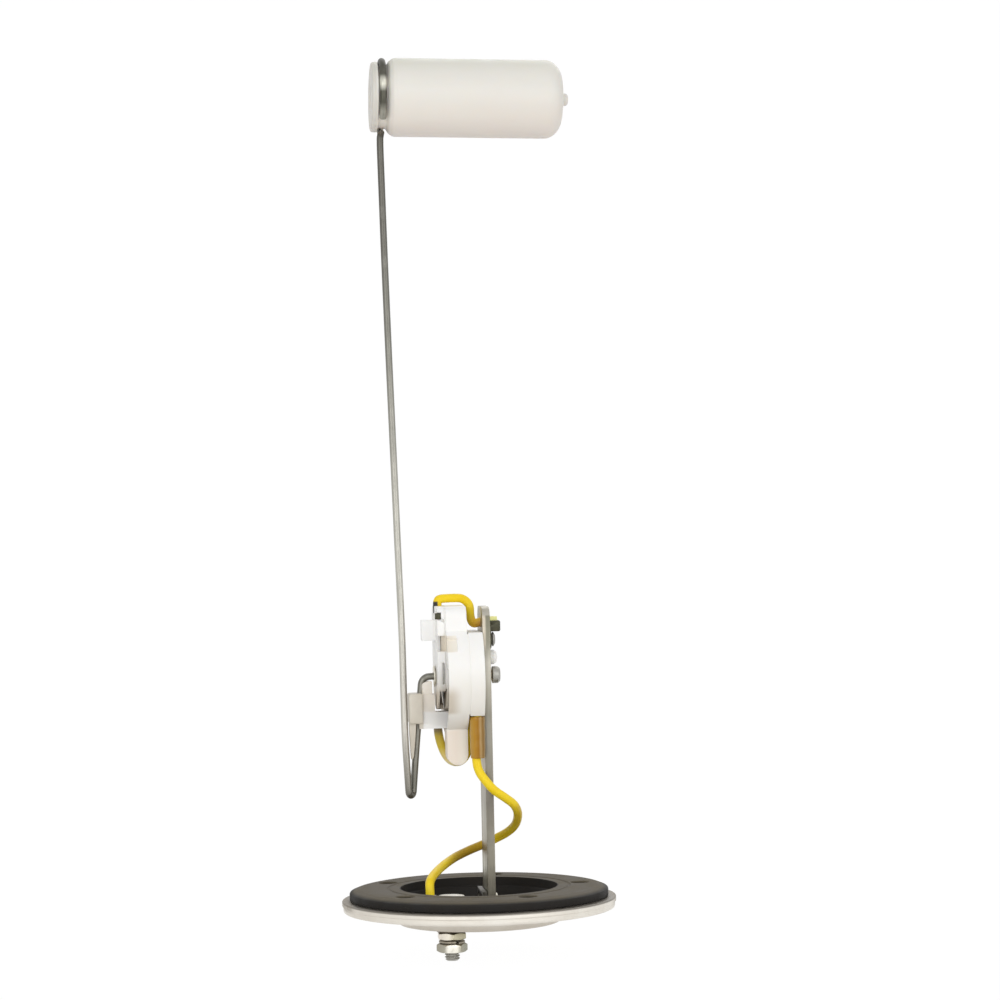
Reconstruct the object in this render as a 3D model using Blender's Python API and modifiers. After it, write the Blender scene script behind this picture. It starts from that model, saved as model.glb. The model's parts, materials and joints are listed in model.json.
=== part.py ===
"""A fuel level sender, standing on its mounting plate with the float arm straight up.

Metres, +Z up. The origin is the centre of the plate's lowest face, the outside of its dish.
+X runs along the axle that the float arm turns on, and -Y is the side seen in front.
"""
import math

import bmesh
import bpy
from mathutils import Matrix, Vector

# Clearances
SEAT_GAP = 0.0003  # between faces that rest on each other
BORE_GAP = 0.00025  # round a shank in its hole, on the radius
SWING_GAP = 0.0005  # round what swings with the arm
CUT_PAST = 0.001  # how far a cutter reaches past the face that it opens
JOIN_INTO = 0.001  # how far a joined shape reaches into the one that it is joined to

# Mounting plate
PLATE_RADIUS = 0.036
RIM_THICKNESS = 0.003
RIM_LOWER = 0.0018  # height of the rim's lower part, under its small ledge
RIM_STEP = 0.0003  # how far the ledge stands out
RIM_EDGE = 0.0009
DISH_DEPTH = 0.0034  # how far the dish hangs below the rim
DISH_RADIUS = 0.0212  # outside, at the dish's floor
DISH_TAPER = 0.0015  # how much wider the dish is at the rim
DISH_WALL = 0.0012
DISH_FLOOR = 0.0015
DISH_EDGE = 0.0008
DISH_EDGE_START = -0.3  # where the dish's slanting wall turns into its lower edge, in radians

# Bolt holes
BOLT_HOLE_RADIUS = 0.0024
BOLT_FROM_DISH = 0.0019  # from the dish's widest place to the holes
BOLT_HOLES = 5
FIRST_BOLT_ANGLE = math.radians(4)

# Gasket
GASKET_MARGIN = 0.0046  # outside the bolt holes
GASKET_HOLE_INSET = 0.00055  # how much smaller than the dish its hole is
GASKET_SIDE = 0.0018  # height of its upright side
GASKET_CROWN = 0.0008  # how far the flat top stands above the side
GASKET_SHOULDER = 0.003  # width of the slope between them
GASKET_SHOULDER_DROP = 0.00028  # how far the slope has come down at its middle
GASKET_EDGE = 0.0003
GASKET_SKIRT = 0.0009  # wall of the skirt that lines the dish

# Terminal stud and what is stacked on it
STUD_X = -0.0082
STUD_Y = -0.009
STUD_RADIUS = 0.002
STUD_TAIL = 0.0086  # how far the stud reaches below the plate
STUD_HEAD_HEIGHT = 0.003
NUT_ACROSS_FLATS = 0.007
INNER_NUT_HEIGHT = 0.0018
OUTER_NUT_HEIGHT = 0.0022
OUTER_NUT_TURN = math.radians(30)  # a flat faces the front
NUT_CHAMFER = 0.0004
NUT_FACE_SHARE = 0.95  # the round end face, as a share of the width across the flats
NUT_PAST = 0.0002  # how far the shapes that cut a nut reach past it
BUSH_FLANGE_RADIUS = 0.0042
BUSH_FLANGE_HEIGHT = 0.002
BUSH_SLEEVE_RADIUS = 0.003
OUTER_WASHER_RADIUS = 0.004
OUTER_WASHER_HEIGHT = 0.0007
SPRING_WASHER_RADIUS = 0.0034
SPRING_WASHER_HEIGHT = 0.0005

# Ring terminal on the stud
RING_RADIUS = 0.0036
RING_THICKNESS = 0.0008
BARREL_REACH = 0.0056  # from the stud to the barrel
BARREL_ANGLE = math.radians(190)  # direction of the barrel from the stud
BARREL_RADIUS = 0.0017
BARREL_HEIGHT = 0.0036

# Stalk
STALK_X = 0.00275
STALK_THICKNESS = 0.002
STALK_WIDTH = 0.014
STALK_CORNER = 0.0035
BRACKET_THICKNESS = 0.0012
BRACKET_HEIGHT = 0.0067
BRACKET_FOOT = 0.0078  # length of its foot along the plate
BRACKET_FOOT_FRONT = -0.0035  # the foot's front edge, clear of the stud
BRACKET_BEND = 0.0012
RIVET_RADIUS = 0.0009
RIVET_HEAD_RADIUS = 0.0017
RIVET_HEAD_HEIGHT = 0.0008
BRACKET_RIVET_SPACING = 0.007
BRACKET_RIVET_HEIGHT = 0.0044  # above the foot of the stalk
FOOT_RIVET_REACH = 0.0048  # from the stalk
FOOT_RIVETS_Y = (-0.0008, 0.0046)

# Axle
PIVOT_HEIGHT = 0.0648
WIRE_RADIUS = 0.0009

# Housing
BODY_RADIUS = 0.015  # round part, about the axle
BODY_HALF_WIDTH = 0.009  # upper part
BODY_ABOVE = 0.0184  # its top edge, above the axle
BODY_CORNER = 0.0025
BODY_DEPTH = 0.0054  # along X
BODY_WALL = 0.001
FRONT_WALL = 0.0014
BASE_DEPTH = 0.00374
BASE_BELOW = 0.01  # its bottom edge, below the axle
BASE_MARGIN = 0.00035  # from the fixing rivet's head to its top edge
TONGUE_BELOW = 0.0231  # its lower end, below the axle
TONGUE_FRONT = -0.006
TONGUE_BACK = 0.0015
PEG_RADIUS = 0.0013
PEG_HEAD_RADIUS = 0.0019
PEG_HEAD_HEIGHT = 0.0021
WINDOW_ABOVE = 0.00885  # middle of the recess at each side, above the axle
WINDOW_HEIGHT = 0.0039
WINDOW_DEPTH = 0.0026  # along X, from the front face
WINDOW_SINK = 0.0006

# Cover
COVER_INSET = 0.0007  # how much narrower than the shell it is, at each side
COVER_PLATE = 0.0011
COVER_STAND_OFF = 0.0008
COVER_SKIRT = 0.0012
COVER_SLOT_BELOW = 0.0017  # its lower edge, below the axle
COVER_SLOT_ABOVE = 0.0039
COVER_SLOT_WIDTH = 0.0006  # along X
COVER_OPEN_BELOW = 0.0036  # from here down the cover's front side is open for the crossbar
COVER_LIP = 0.0005  # what stays of the plate there
COVER_NOTCH = 0.004  # depth of the notch in its front edge, level with the shell's recess
LATCH_LEFT_DROP = 0.002  # the slanting slit's left end, below the cover's top edge
LATCH_RIGHT_DROP = 0.0038
LATCH_WIDTH = 0.0008
LATCH_DEPTH = 0.00084
LUG_REACH = 0.0036
LUG_ABOVE = 0.0094  # its lower edge, above the axle
LUG_HEIGHT = 0.0054
LUG_WIDTH = 0.0032
LUG_ROOT = 0.0008  # how far the lug reaches into the cover's plate
SADDLE_Y = 0.002  # where the earth lead enters the cover's top edge
SADDLE_DEPTH = 0.0022
SADDLE_PROUD = 0.00045  # how far the lead there stands past the cover's face

# Lever and wiper
CROSSBAR_HEIGHT = 0.0044
CROSSBAR_WIDTH = 0.004
BLOCK_DEPTH = 0.0037  # along X
BLOCK_WIDTH = 0.007
BLOCK_BELOW = 0.0043  # its top, below the axle
BLOCK_PAST_TRACK = 0.0008  # how far its lower end lies below the winding's middle
BLOCK_EDGE = 0.0005
CHEEK_WIDTH = 0.0036  # of the raised part between the block and the cover
CHEEK_BELOW = 0.0046  # its top, below the axle
WIPER_THICKNESS = 0.0003
WIPER_WIDTH = 0.003
WIPER_LENGTH = 0.0036
CONTACT_RADIUS = 0.0006
CONTACT_HEIGHT = 0.0004

# Resistor card
CARD_INSET = 0.0009  # between the shell's wall and the card
CARD_TOP = 0.004  # above the axle
CARD_THICKNESS = 0.0008
WINDING_INSET = 0.0005  # between the card's edge and the winding
WINDING_WIDTH = 0.0024
WINDING_THICKNESS = 0.0005
WINDING_START = math.radians(168)
WINDING_SWEEP = math.radians(112)
TAG_RADIUS = 0.0019
TAG_THICKNESS = 0.0003

# Bushes, cap and contact strip
BEARING_WALL = 0.0009
BEARING_FLANGE_RADIUS = 0.0028
BEARING_FLANGE = 0.0003
REAR_FLANGE_RADIUS = 0.0021
CAP_RADIUS = 0.00225
CAP_LENGTH = 0.0021
CAP_FLOOR = 0.0005
STRIP_THICKNESS = 0.0004
STRIP_WIDTH = 0.003

# Fixing rivet and earth terminal
FIXING_RADIUS = 0.001
FIXING_HEAD_RADIUS = 0.0019
FIXING_HEAD_HEIGHT = 0.0009
EARTH_TONGUE_RADIUS = 0.0025
EARTH_TONGUE_THICKNESS = 0.0005
NOTCH_WIDTH = 0.0036
NOTCH_DEPTH = 0.00545
NOTCH_ABOVE_HOLE = 0.00205  # from the fixing rivet's hole to the notch's floor
NOTCH_Y = 0.0008
CRADLE_HALF_WIDTH = 0.0021  # of the crimp that the earth lead's end lies in
CRADLE_LENGTH = 0.003  # along X
CRADLE_DEPTH = 0.0029  # from the lead's middle down to the crimp's lower face
CRADLE_EDGE = 0.0004
CRADLE_END_WALL = 0.0005

# Float
FLOAT_X = 0.00127  # its middle
FLOAT_ABOVE = 0.1517  # its middle, above the axle
FLOAT_TILT = math.radians(1.25)  # right end down
FLOAT_LENGTH = 0.0508
FLOAT_RADIUS = 0.0103
FLOAT_RIM_RADIUS = 0.0092
FLOAT_RIM_LENGTH = 0.0021
FLOAT_RIM_EDGE = 0.0008
FLOAT_GROOVE = 0.0026  # its width
FLOAT_GROOVE_DEPTH = 0.001
FLOAT_SHOULDER = 0.0019
FLOAT_SHOULDER_SINK = 0.0006  # how far the rounded shoulder lies in, at its first corner
FLOAT_END = 0.005  # length of the rounded right end
FLOAT_END_FLAT = 0.0052  # radius of the flat that it ends in
FLOAT_END_SINK = 0.0001  # how far the nipple's foot lies in the end
FLOAT_END_DROP = 0.0004  # how far the flat's rim lies back
NIPPLE_RADIUS = 0.002
NIPPLE_LENGTH = 0.0014

# Float arm
ARM_LEG_Y = -0.002
ARM_LEG_TOP_LEAN = -0.0005  # the leg's top end, left of the ring
KNEE_X = -0.0188
KNEE_BELOW = 0.0148  # below the axle
HAIRPIN_OUTER_X = -0.0181
HAIRPIN_INNER_X = -0.0167
HAIRPIN_BELOW = 0.0298
INNER_KNEE_X = -0.0156  # a slight bend in the inner leg, below the lever
INNER_KNEE_BELOW = 0.0173
AXLE_BEND = 0.0023
AXLE_START_X = -0.0118
RING_END_ANGLE = math.radians(222)
RING_STEPS = 30

# Leads
LEAD_RADIUS = 0.00135
SLEEVE_RADIUS = 0.002
SLEEVE_LENGTH = 0.0108
SLEEVE_X = -0.00035
SLEEVE_Y = -0.0089
CHANNEL_DEPTH = 0.0032
CHANNEL_BELOW = 0.0044  # its top, below the axle
CHANNEL_FRONT = -0.0104
CHANNEL_BACK = 0.0057
SIGNAL_HOLE_INSET = 0.00128  # from the card's edge
SIGNAL_HOLE_ANGLE = math.radians(23.44)  # from straight below the axle
LEAD_STEP = 0.002  # along the signal lead
EARTH_LEAD_STEP = 0.0011
LOOP_ROUTE = (  # the signal lead's loop behind the tongue, its heights below the axle
    (-0.0094, 0.0048, 0.0115), (-0.0100, 0.0048, 0.0135), (-0.0097, 0.0046, 0.0164),
    (-0.0087, 0.0043, 0.0196), (-0.0071, 0.0042, 0.0219), (-0.0051, 0.0041, 0.0227),
    (-0.0029, 0.0041, 0.0217), (-0.0013, 0.0041, 0.0187))
CHANNEL_ROUTE = (  # its turn in the base's channel, as places along Y and heights below the axle
    (0.0041, 0.0148), (0.0041, 0.0098), (0.0034, 0.0072), (0.0013, 0.0060),
    (-0.0025, 0.0059), (-0.0063, 0.0061), (-0.0084, 0.0076))
BEND_ROUTE = (  # its bend round the stalk, its heights as shares of the way up to the sleeve
    (0.0005, -0.0092, 0.903), (0.0021, -0.0098, 0.828), (0.0044, -0.0098, 0.759),
    (0.0074, -0.0084, 0.696), (0.0097, -0.0058, 0.633), (0.0108, -0.0020, 0.556),
    (0.0108, 0.0028, 0.467), (0.0093, 0.0068, 0.398), (0.0063, 0.0097, 0.350),
    (0.0026, 0.0104, 0.304), (-0.0015, 0.0092, 0.266), (-0.0059, 0.0060, 0.223),
    (-0.0098, 0.0008, 0.172), (-0.0126, -0.0055, 0.120))
LEAD_STAND = 0.0012  # the lead's straight end above the ring terminal
LEAD_LEAN = 0.0007  # how far back it is on a little way above that
LEAD_LEAN_HEIGHT = 0.0028
EARTH_ROUND = 0.0013  # how far below its run over the housing the earth lead starts to bend
EARTH_RISE = 0.0001  # how far it bows up over the housing
EARTH_RUN = 0.005  # from its upright end to the top of that bow
EARTH_DROP = 0.0018  # its bend down behind the housing
EARTH_DIP = 0.0002  # how little it has gone down, or over, at either side of a bend
EARTH_LOW = 0.0024  # its way above the base, on its way down to the notch
EARTH_LOWEST = 0.0005
EARTH_ASIDE = 0.0007

ROUND_STEPS = 72  # sides of the plate and gasket
SMALL_STEPS = 20  # sides of pins, holes and washers

# Places worked out from the sizes
BOLT_CIRCLE_RADIUS = DISH_RADIUS + DISH_TAPER + BOLT_FROM_DISH + BOLT_HOLE_RADIUS
GASKET_RADIUS = BOLT_CIRCLE_RADIUS + BOLT_HOLE_RADIUS + GASKET_MARGIN
RIM_BOTTOM = DISH_DEPTH
RIM_TOP = DISH_DEPTH + RIM_THICKNESS
STALK_LEFT = STALK_X - STALK_THICKNESS / 2
STALK_RIGHT = STALK_X + STALK_THICKNESS / 2
STALK_FOOT = DISH_FLOOR + SEAT_GAP
BASE_RIGHT = STALK_LEFT - SEAT_GAP
BASE_LEFT = BASE_RIGHT - BASE_DEPTH
BODY_RIGHT = BASE_LEFT - SEAT_GAP
BODY_LEFT = BODY_RIGHT - BODY_DEPTH
COVER_RIGHT = BODY_LEFT - SEAT_GAP
COVER_LEFT = COVER_RIGHT - COVER_STAND_OFF - COVER_PLATE
CARD_RIGHT = BASE_LEFT - SEAT_GAP
CARD_LEFT = CARD_RIGHT - CARD_THICKNESS
WINDING_RIGHT = CARD_LEFT - SEAT_GAP
WINDING_LEFT = WINDING_RIGHT - WINDING_THICKNESS
WIPER_LEFT = WINDING_LEFT - SEAT_GAP - CONTACT_HEIGHT - WIPER_THICKNESS
CROSSBAR_RIGHT = WIPER_LEFT - SEAT_GAP
BLOCK_LEFT = KNEE_X + WIRE_RADIUS + SEAT_GAP
AXLE_HOLE = WIRE_RADIUS + BORE_GAP
BEARING_RADIUS = AXLE_HOLE + BEARING_WALL
REAR_FLANGE_LEFT = STALK_RIGHT + SEAT_GAP
CAP_LEFT = REAR_FLANGE_LEFT + BEARING_FLANGE + SEAT_GAP
AXLE_END_X = CAP_LEFT + CAP_LENGTH - CAP_FLOOR - SEAT_GAP
STUD_HOLE = STUD_RADIUS + BORE_GAP
LEAD_HOLE = LEAD_RADIUS + BORE_GAP
BODY_TOP = PIVOT_HEIGHT + BODY_ABOVE
COVER_HALF_WIDTH = BODY_HALF_WIDTH - COVER_INSET
CARD_RADIUS = BODY_RADIUS - BODY_WALL - CARD_INSET
WINDING_OUTER = CARD_RADIUS - WINDING_INSET
WINDING_INNER = WINDING_OUTER - WINDING_WIDTH
TRACK_RADIUS = (WINDING_INNER + WINDING_OUTER) / 2
CROSSBAR_INNER = TRACK_RADIUS - CROSSBAR_HEIGHT / 2
CROSSBAR_OUTER = TRACK_RADIUS + CROSSBAR_HEIGHT / 2
COVER_NOSE_RADIUS = CROSSBAR_INNER - SWING_GAP
BASE_BOTTOM = PIVOT_HEIGHT - BASE_BELOW
PEG_HEIGHT = PIVOT_HEIGHT + CAP_RADIUS + SWING_GAP + PEG_HEAD_RADIUS
FIXING_HEIGHT = PEG_HEIGHT + PEG_HEAD_RADIUS + SEAT_GAP + EARTH_TONGUE_RADIUS
BASE_TOP = FIXING_HEIGHT + FIXING_HEAD_RADIUS + BASE_MARGIN
SIGNAL_HOLE_Y = (CARD_RADIUS - SIGNAL_HOLE_INSET) * math.sin(SIGNAL_HOLE_ANGLE)
SIGNAL_HOLE_Z = PIVOT_HEIGHT - (CARD_RADIUS - SIGNAL_HOLE_INSET) * math.cos(SIGNAL_HOLE_ANGLE)
GROOVE_FROM_CENTRE = FLOAT_LENGTH / 2 - FLOAT_RIM_LENGTH - FLOAT_GROOVE / 2
NECK_RADIUS = FLOAT_RIM_RADIUS - FLOAT_GROOVE_DEPTH
RING_CENTRE_RADIUS = NECK_RADIUS + SEAT_GAP + WIRE_RADIUS
NOTCH_FLOOR = FIXING_HEIGHT + FIXING_RADIUS + BORE_GAP + NOTCH_ABOVE_HOLE
STALK_TOP = NOTCH_FLOOR + NOTCH_DEPTH
EARTH_LEAD_Z = NOTCH_FLOOR + SEAT_GAP + LEAD_RADIUS  # through the stalk and in its cradle
PIVOT = Vector((0.0, 0.0, PIVOT_HEIGHT))
FLOAT_CENTRE = PIVOT + Vector((FLOAT_X, 0.0, FLOAT_ABOVE))
ARM_KNEE = PIVOT + Vector((KNEE_X, ARM_LEG_Y, -KNEE_BELOW))
HAIRPIN_OUTER = PIVOT + Vector((HAIRPIN_OUTER_X, ARM_LEG_Y, -HAIRPIN_BELOW))
HAIRPIN_INNER = PIVOT + Vector((HAIRPIN_INNER_X, 0.0, -HAIRPIN_BELOW))
INNER_KNEE = PIVOT + Vector((INNER_KNEE_X, 0.0, -INNER_KNEE_BELOW))


def clear_scene():
    for old in list(bpy.data.objects):
        bpy.data.objects.remove(old, do_unlink=True)


def new_collection(name):
    collection = bpy.data.collections.new(name)
    bpy.context.scene.collection.children.link(collection)
    return collection


def principled(name, colour, roughness, metallic=0.0):
    made = bpy.data.materials.new(name)
    made.use_nodes = True
    shader = made.node_tree.nodes["Principled BSDF"]
    shader.inputs["Base Color"].default_value = (*colour, 1.0)
    shader.inputs["Roughness"].default_value = roughness
    shader.inputs["Metallic"].default_value = metallic
    return made


clear_scene()
PARTS = new_collection("fuel_level_sender")
CUTTERS = new_collection("cutters")

CAST_METAL = principled("cast_metal", (0.74, 0.73, 0.70), 0.42, 0.7)
RUBBER = principled("rubber", (0.045, 0.042, 0.038), 0.75)
STEEL = principled("zinc_steel", (0.36, 0.35, 0.30), 0.38, 1.0)
BRIGHT_STEEL = principled("bright_steel", (0.70, 0.68, 0.60), 0.3, 1.0)
DARK_STEEL = principled("dark_steel", (0.06, 0.06, 0.055), 0.45, 0.8)
FIBRE = principled("fibre", (0.07, 0.055, 0.045), 0.8)
WHITE_PLASTIC = principled("white_plastic", (0.86, 0.85, 0.81), 0.45)
BEIGE_PLASTIC = principled("beige_plastic", (0.62, 0.58, 0.50), 0.5)
FLOAT_PLASTIC = principled("float_plastic", (0.80, 0.77, 0.72), 0.35)
BRASS = principled("brass", (0.72, 0.52, 0.22), 0.35, 1.0)
CARD = principled("card", (0.30, 0.16, 0.07), 0.6)
RESISTANCE_WIRE = principled("resistance_wire", (0.45, 0.36, 0.28), 0.4, 1.0)
YELLOW_PVC = principled("yellow_pvc", (0.90, 0.60, 0.03), 0.4)
AMBER_SLEEVE = principled("amber_sleeve", (0.36, 0.19, 0.05), 0.4)


def place(name, mesh, material, matrix=None):
    """Puts a mesh in the model as a part."""
    made = bpy.data.objects.new(name, mesh)
    PARTS.objects.link(made)
    mesh.materials.clear()
    mesh.materials.append(material)
    if matrix is not None:
        made.matrix_world = matrix
    return made


def as_cutter(tool):
    """Moves an object to the cutters, where it only shapes others."""
    for collection in list(tool.users_collection):
        collection.objects.unlink(tool)
    CUTTERS.objects.link(tool)
    tool.hide_render = True
    tool.display_type = "WIRE"
    return tool


def shape_with(part, tool, operation):
    as_cutter(tool)
    step = part.modifiers.new(f"{operation.lower()}_{tool.name}", "BOOLEAN")
    step.operation = operation
    step.solver = "EXACT"
    step.object = tool


def cut(part, tool):
    shape_with(part, tool, "DIFFERENCE")


def join(part, tool):
    shape_with(part, tool, "UNION")


def smooth(mesh):
    mesh.shade_smooth()
    mesh.set_sharp_from_angle(angle=math.radians(35))


def box(name, low, high, material=STEEL, edge=0.0):
    """A box between two corners, its edges rounded by edge."""
    low, high = Vector(low), Vector(high)
    shape = bmesh.new()
    bmesh.ops.create_cube(shape, size=1.0)
    bmesh.ops.scale(shape, vec=high - low, verts=shape.verts)
    bmesh.ops.translate(shape, vec=(low + high) / 2, verts=shape.verts)
    if edge:
        bmesh.ops.bevel(shape, geom=shape.edges[:], offset=edge, segments=2,
                        profile=0.5, affect="EDGES")
    mesh = bpy.data.meshes.new(name)
    shape.to_mesh(mesh)
    shape.free()
    return place(name, mesh, material)


def rod(name, radius, start, end, material=STEEL, sides=SMALL_STEPS):
    """A round bar from one point to another."""
    start, end = Vector(start), Vector(end)
    run = end - start
    shape = bmesh.new()
    bmesh.ops.create_cone(shape, cap_ends=True, segments=sides, radius1=radius,
                          radius2=radius, depth=run.length)
    mesh = bpy.data.meshes.new(name)
    shape.to_mesh(mesh)
    shape.free()
    smooth(mesh)
    turn = run.to_track_quat("Z", "Y").to_matrix().to_4x4()
    return place(name, mesh, material, Matrix.Translation((start + end) / 2) @ turn)


def turned(name, profile, material, steps=SMALL_STEPS, centre=(0, 0, 0), along="Z"):
    """Turns a profile of (radius, height) points, given top to bottom down the outer side."""
    mesh = bpy.data.meshes.new(name)
    count = len(profile)
    on_axis = profile[0][0] == 0 and profile[-1][0] == 0
    edges = [(i, i + 1) for i in range(count - 1)]
    if not on_axis:
        edges.append((count - 1, 0))
    mesh.from_pydata([(radius, 0, height) for radius, height in profile], edges, [])
    turn = Matrix.Rotation(math.pi / 2, 4, "Y") if along == "X" else Matrix.Identity(4)
    made = place(name, mesh, material, Matrix.Translation(centre) @ turn)
    screw = made.modifiers.new("turn", "SCREW")
    screw.axis = "Z"
    screw.angle = math.tau
    screw.steps = steps
    screw.render_steps = steps
    screw.use_merge_vertices = True
    screw.merge_threshold = 0.00001
    screw.use_smooth_shade = False
    return made


def arc(centre, radius, start, end, steps):
    """Points of an arc in a plane, both ends included."""
    return [(centre[0] + radius * math.cos(start + (end - start) * i / steps),
             centre[1] + radius * math.sin(start + (end - start) * i / steps))
            for i in range(steps + 1)]


def curve_mesh(name, data):
    """The mesh of a curve, its caps welded to its sides."""
    guide = bpy.data.objects.new(name + "_guide", data)
    CUTTERS.objects.link(guide)
    graph = bpy.context.evaluated_depsgraph_get()
    graph.update()
    mesh = bpy.data.meshes.new_from_object(guide.evaluated_get(graph))
    bpy.data.objects.remove(guide, do_unlink=True)
    shape = bmesh.new()
    shape.from_mesh(mesh)
    bmesh.ops.remove_doubles(shape, verts=shape.verts, dist=0.000001)
    bmesh.ops.recalc_face_normals(shape, faces=shape.faces)
    shape.to_mesh(mesh)
    shape.free()
    mesh.name = name
    return mesh


def slab(name, outline, low, high, material=STEEL, along="X"):
    """A flat outline made thick along one axis.

    Along X the outline's points are (y, z), along Y they are (x, z).
    """
    data = bpy.data.curves.new(name, "CURVE")
    data.dimensions = "2D"
    data.fill_mode = "BOTH"
    data.extrude = abs(high - low) / 2
    line = data.splines.new("POLY")
    line.points.add(len(outline) - 1)
    for point, (across, up) in zip(line.points, outline):
        point.co = (across, up, 0, 1)
    line.use_cyclic_u = True
    mesh = curve_mesh(name, data)
    middle = (low + high) / 2
    if along == "X":
        matrix = Matrix(((0, 0, 1, middle), (1, 0, 0, 0), (0, 1, 0, 0), (0, 0, 0, 1)))
    else:
        matrix = Matrix(((1, 0, 0, 0), (0, 0, -1, middle), (0, 1, 0, 0), (0, 0, 0, 1)))
    return place(name, mesh, material, matrix)


def wire(name, points, radius, material):
    """A round wire or lead along points."""
    data = bpy.data.curves.new(name, "CURVE")
    data.dimensions = "3D"
    data.bevel_depth = radius
    data.bevel_resolution = 2
    data.use_fill_caps = True
    line = data.splines.new("POLY")
    line.points.add(len(points) - 1)
    for point, place_at in zip(line.points, points):
        point.co = (*place_at, 1)
    made = bpy.data.objects.new(name, data)
    PARTS.objects.link(made)
    data.materials.append(material)
    return made


def smooth_route(points, step):
    """Points about a step apart on a smooth curve through a route's own points."""
    points = [Vector(p) for p in points]
    ends = [2 * points[0] - points[1], *points, 2 * points[-1] - points[-2]]
    route = []
    for before, here, there, after in zip(ends, ends[1:], ends[2:], ends[3:]):
        count = max(1, round((there - here).length / step))
        for i in range(count):
            t = i / count
            route.append(0.5 * (2 * here + (there - before) * t
                                + (2 * before - 5 * here + 4 * there - after) * t ** 2
                                + (3 * here - before - 3 * there + after) * t ** 3))
    return [*route, points[-1]]


def around_bolts():
    """The centres of the bolt holes."""
    for i in range(BOLT_HOLES):
        angle = FIRST_BOLT_ANGLE + i * math.tau / BOLT_HOLES
        yield BOLT_CIRCLE_RADIUS * math.cos(angle), BOLT_CIRCLE_RADIUS * math.sin(angle)


def drill(part, radius, start, end):
    cut(part, rod(f"{part.name}_hole_{len(part.modifiers)}", radius, start, end))


def bore(part, radius, start, end):
    """Cuts a round hole right through, from one face to the other."""
    start, end = Vector(start), Vector(end)
    past = (end - start).normalized() * CUT_PAST
    drill(part, radius, start - past, end + past)


def foot_rivet_x():
    return STALK_LEFT - SEAT_GAP - FOOT_RIVET_REACH


def mounting_plate():
    inner, wide = DISH_RADIUS - DISH_WALL, DISH_RADIUS + DISH_TAPER
    ledge = RIM_BOTTOM + RIM_LOWER
    lower = PLATE_RADIUS - RIM_STEP
    profile = [(0, DISH_FLOOR), (inner, DISH_FLOOR), (wide - DISH_WALL, RIM_TOP),
               (PLATE_RADIUS, RIM_TOP), (PLATE_RADIUS, ledge), (lower, ledge - RIM_STEP)]
    profile += arc((lower - RIM_EDGE, RIM_BOTTOM + RIM_EDGE), RIM_EDGE, 0, -math.pi / 2, 3)
    profile += [(wide, RIM_BOTTOM)]
    profile += arc((DISH_RADIUS - DISH_EDGE, DISH_EDGE), DISH_EDGE, DISH_EDGE_START, -math.pi / 2, 3)
    profile += [(0, 0)]
    plate = turned("mounting_plate", profile, CAST_METAL, ROUND_STEPS)
    for x, y in around_bolts():
        bore(plate, BOLT_HOLE_RADIUS, (x, y, 0), (x, y, RIM_TOP))
    bore(plate, BUSH_SLEEVE_RADIUS + BORE_GAP, (STUD_X, STUD_Y, 0), (STUD_X, STUD_Y, DISH_FLOOR))
    for y in FOOT_RIVETS_Y:
        bore(plate, RIVET_RADIUS + BORE_GAP, (foot_rivet_x(), y, 0), (foot_rivet_x(), y, DISH_FLOOR))
    return plate


def gasket():
    """A flat ring with a sloping shoulder, and a skirt that lines the dish."""
    seat = RIM_TOP + SEAT_GAP
    side_top = seat + GASKET_SIDE
    top = side_top + GASKET_CROWN
    floor = DISH_FLOOR + SEAT_GAP
    slope = DISH_TAPER / (RIM_TOP - DISH_FLOOR)
    outer_low = DISH_RADIUS - DISH_WALL - SEAT_GAP
    outer_high = outer_low + slope * (seat - floor)
    profile = [(DISH_RADIUS - GASKET_HOLE_INSET, top), (GASKET_RADIUS - GASKET_SHOULDER, top),
               (GASKET_RADIUS - GASKET_SHOULDER / 2, top - GASKET_SHOULDER_DROP),
               (GASKET_RADIUS - GASKET_EDGE, side_top), (GASKET_RADIUS, side_top - GASKET_EDGE),
               (GASKET_RADIUS, seat), (outer_high, seat), (outer_low, floor),
               (outer_low - GASKET_SKIRT, floor), (outer_high - GASKET_SKIRT, seat)]
    ring = turned("gasket", profile, RUBBER, ROUND_STEPS)
    for x, y in around_bolts():
        bore(ring, BOLT_HOLE_RADIUS, (x, y, seat), (x, y, top))
    return ring


def hex_solid(name, height, bottom, material, chamfer_bottom=True, turn=0.0):
    """A hexagon round the stud with chamfered ends, turned from a corner facing the front."""
    corner = NUT_ACROSS_FLATS / math.sqrt(3)
    face = NUT_ACROSS_FLATS / 2 * NUT_FACE_SHARE
    wide = corner + NUT_PAST
    top = bottom + height
    drop = NUT_CHAMFER * (wide - face) / (corner - face)
    solid = rod(name, corner, (STUD_X, STUD_Y, bottom - NUT_PAST), (STUD_X, STUD_Y, top + NUT_PAST),
                material, 6)
    centre = Vector((STUD_X, STUD_Y, 0))
    solid.matrix_world = (Matrix.Translation(centre) @ Matrix.Rotation(turn, 4, "Z")
                          @ Matrix.Translation(-centre) @ solid.matrix_world)
    profile = [(0, top), (face, top), (wide, top - drop)]
    if chamfer_bottom:
        profile += [(wide, bottom + drop), (face, bottom), (0, bottom)]
    else:
        profile += [(wide, bottom), (0, bottom)]
    lens = turned(name + "_lens", profile, material, 24, (STUD_X, STUD_Y, 0))
    shape_with(solid, lens, "INTERSECT")
    return solid


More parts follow.
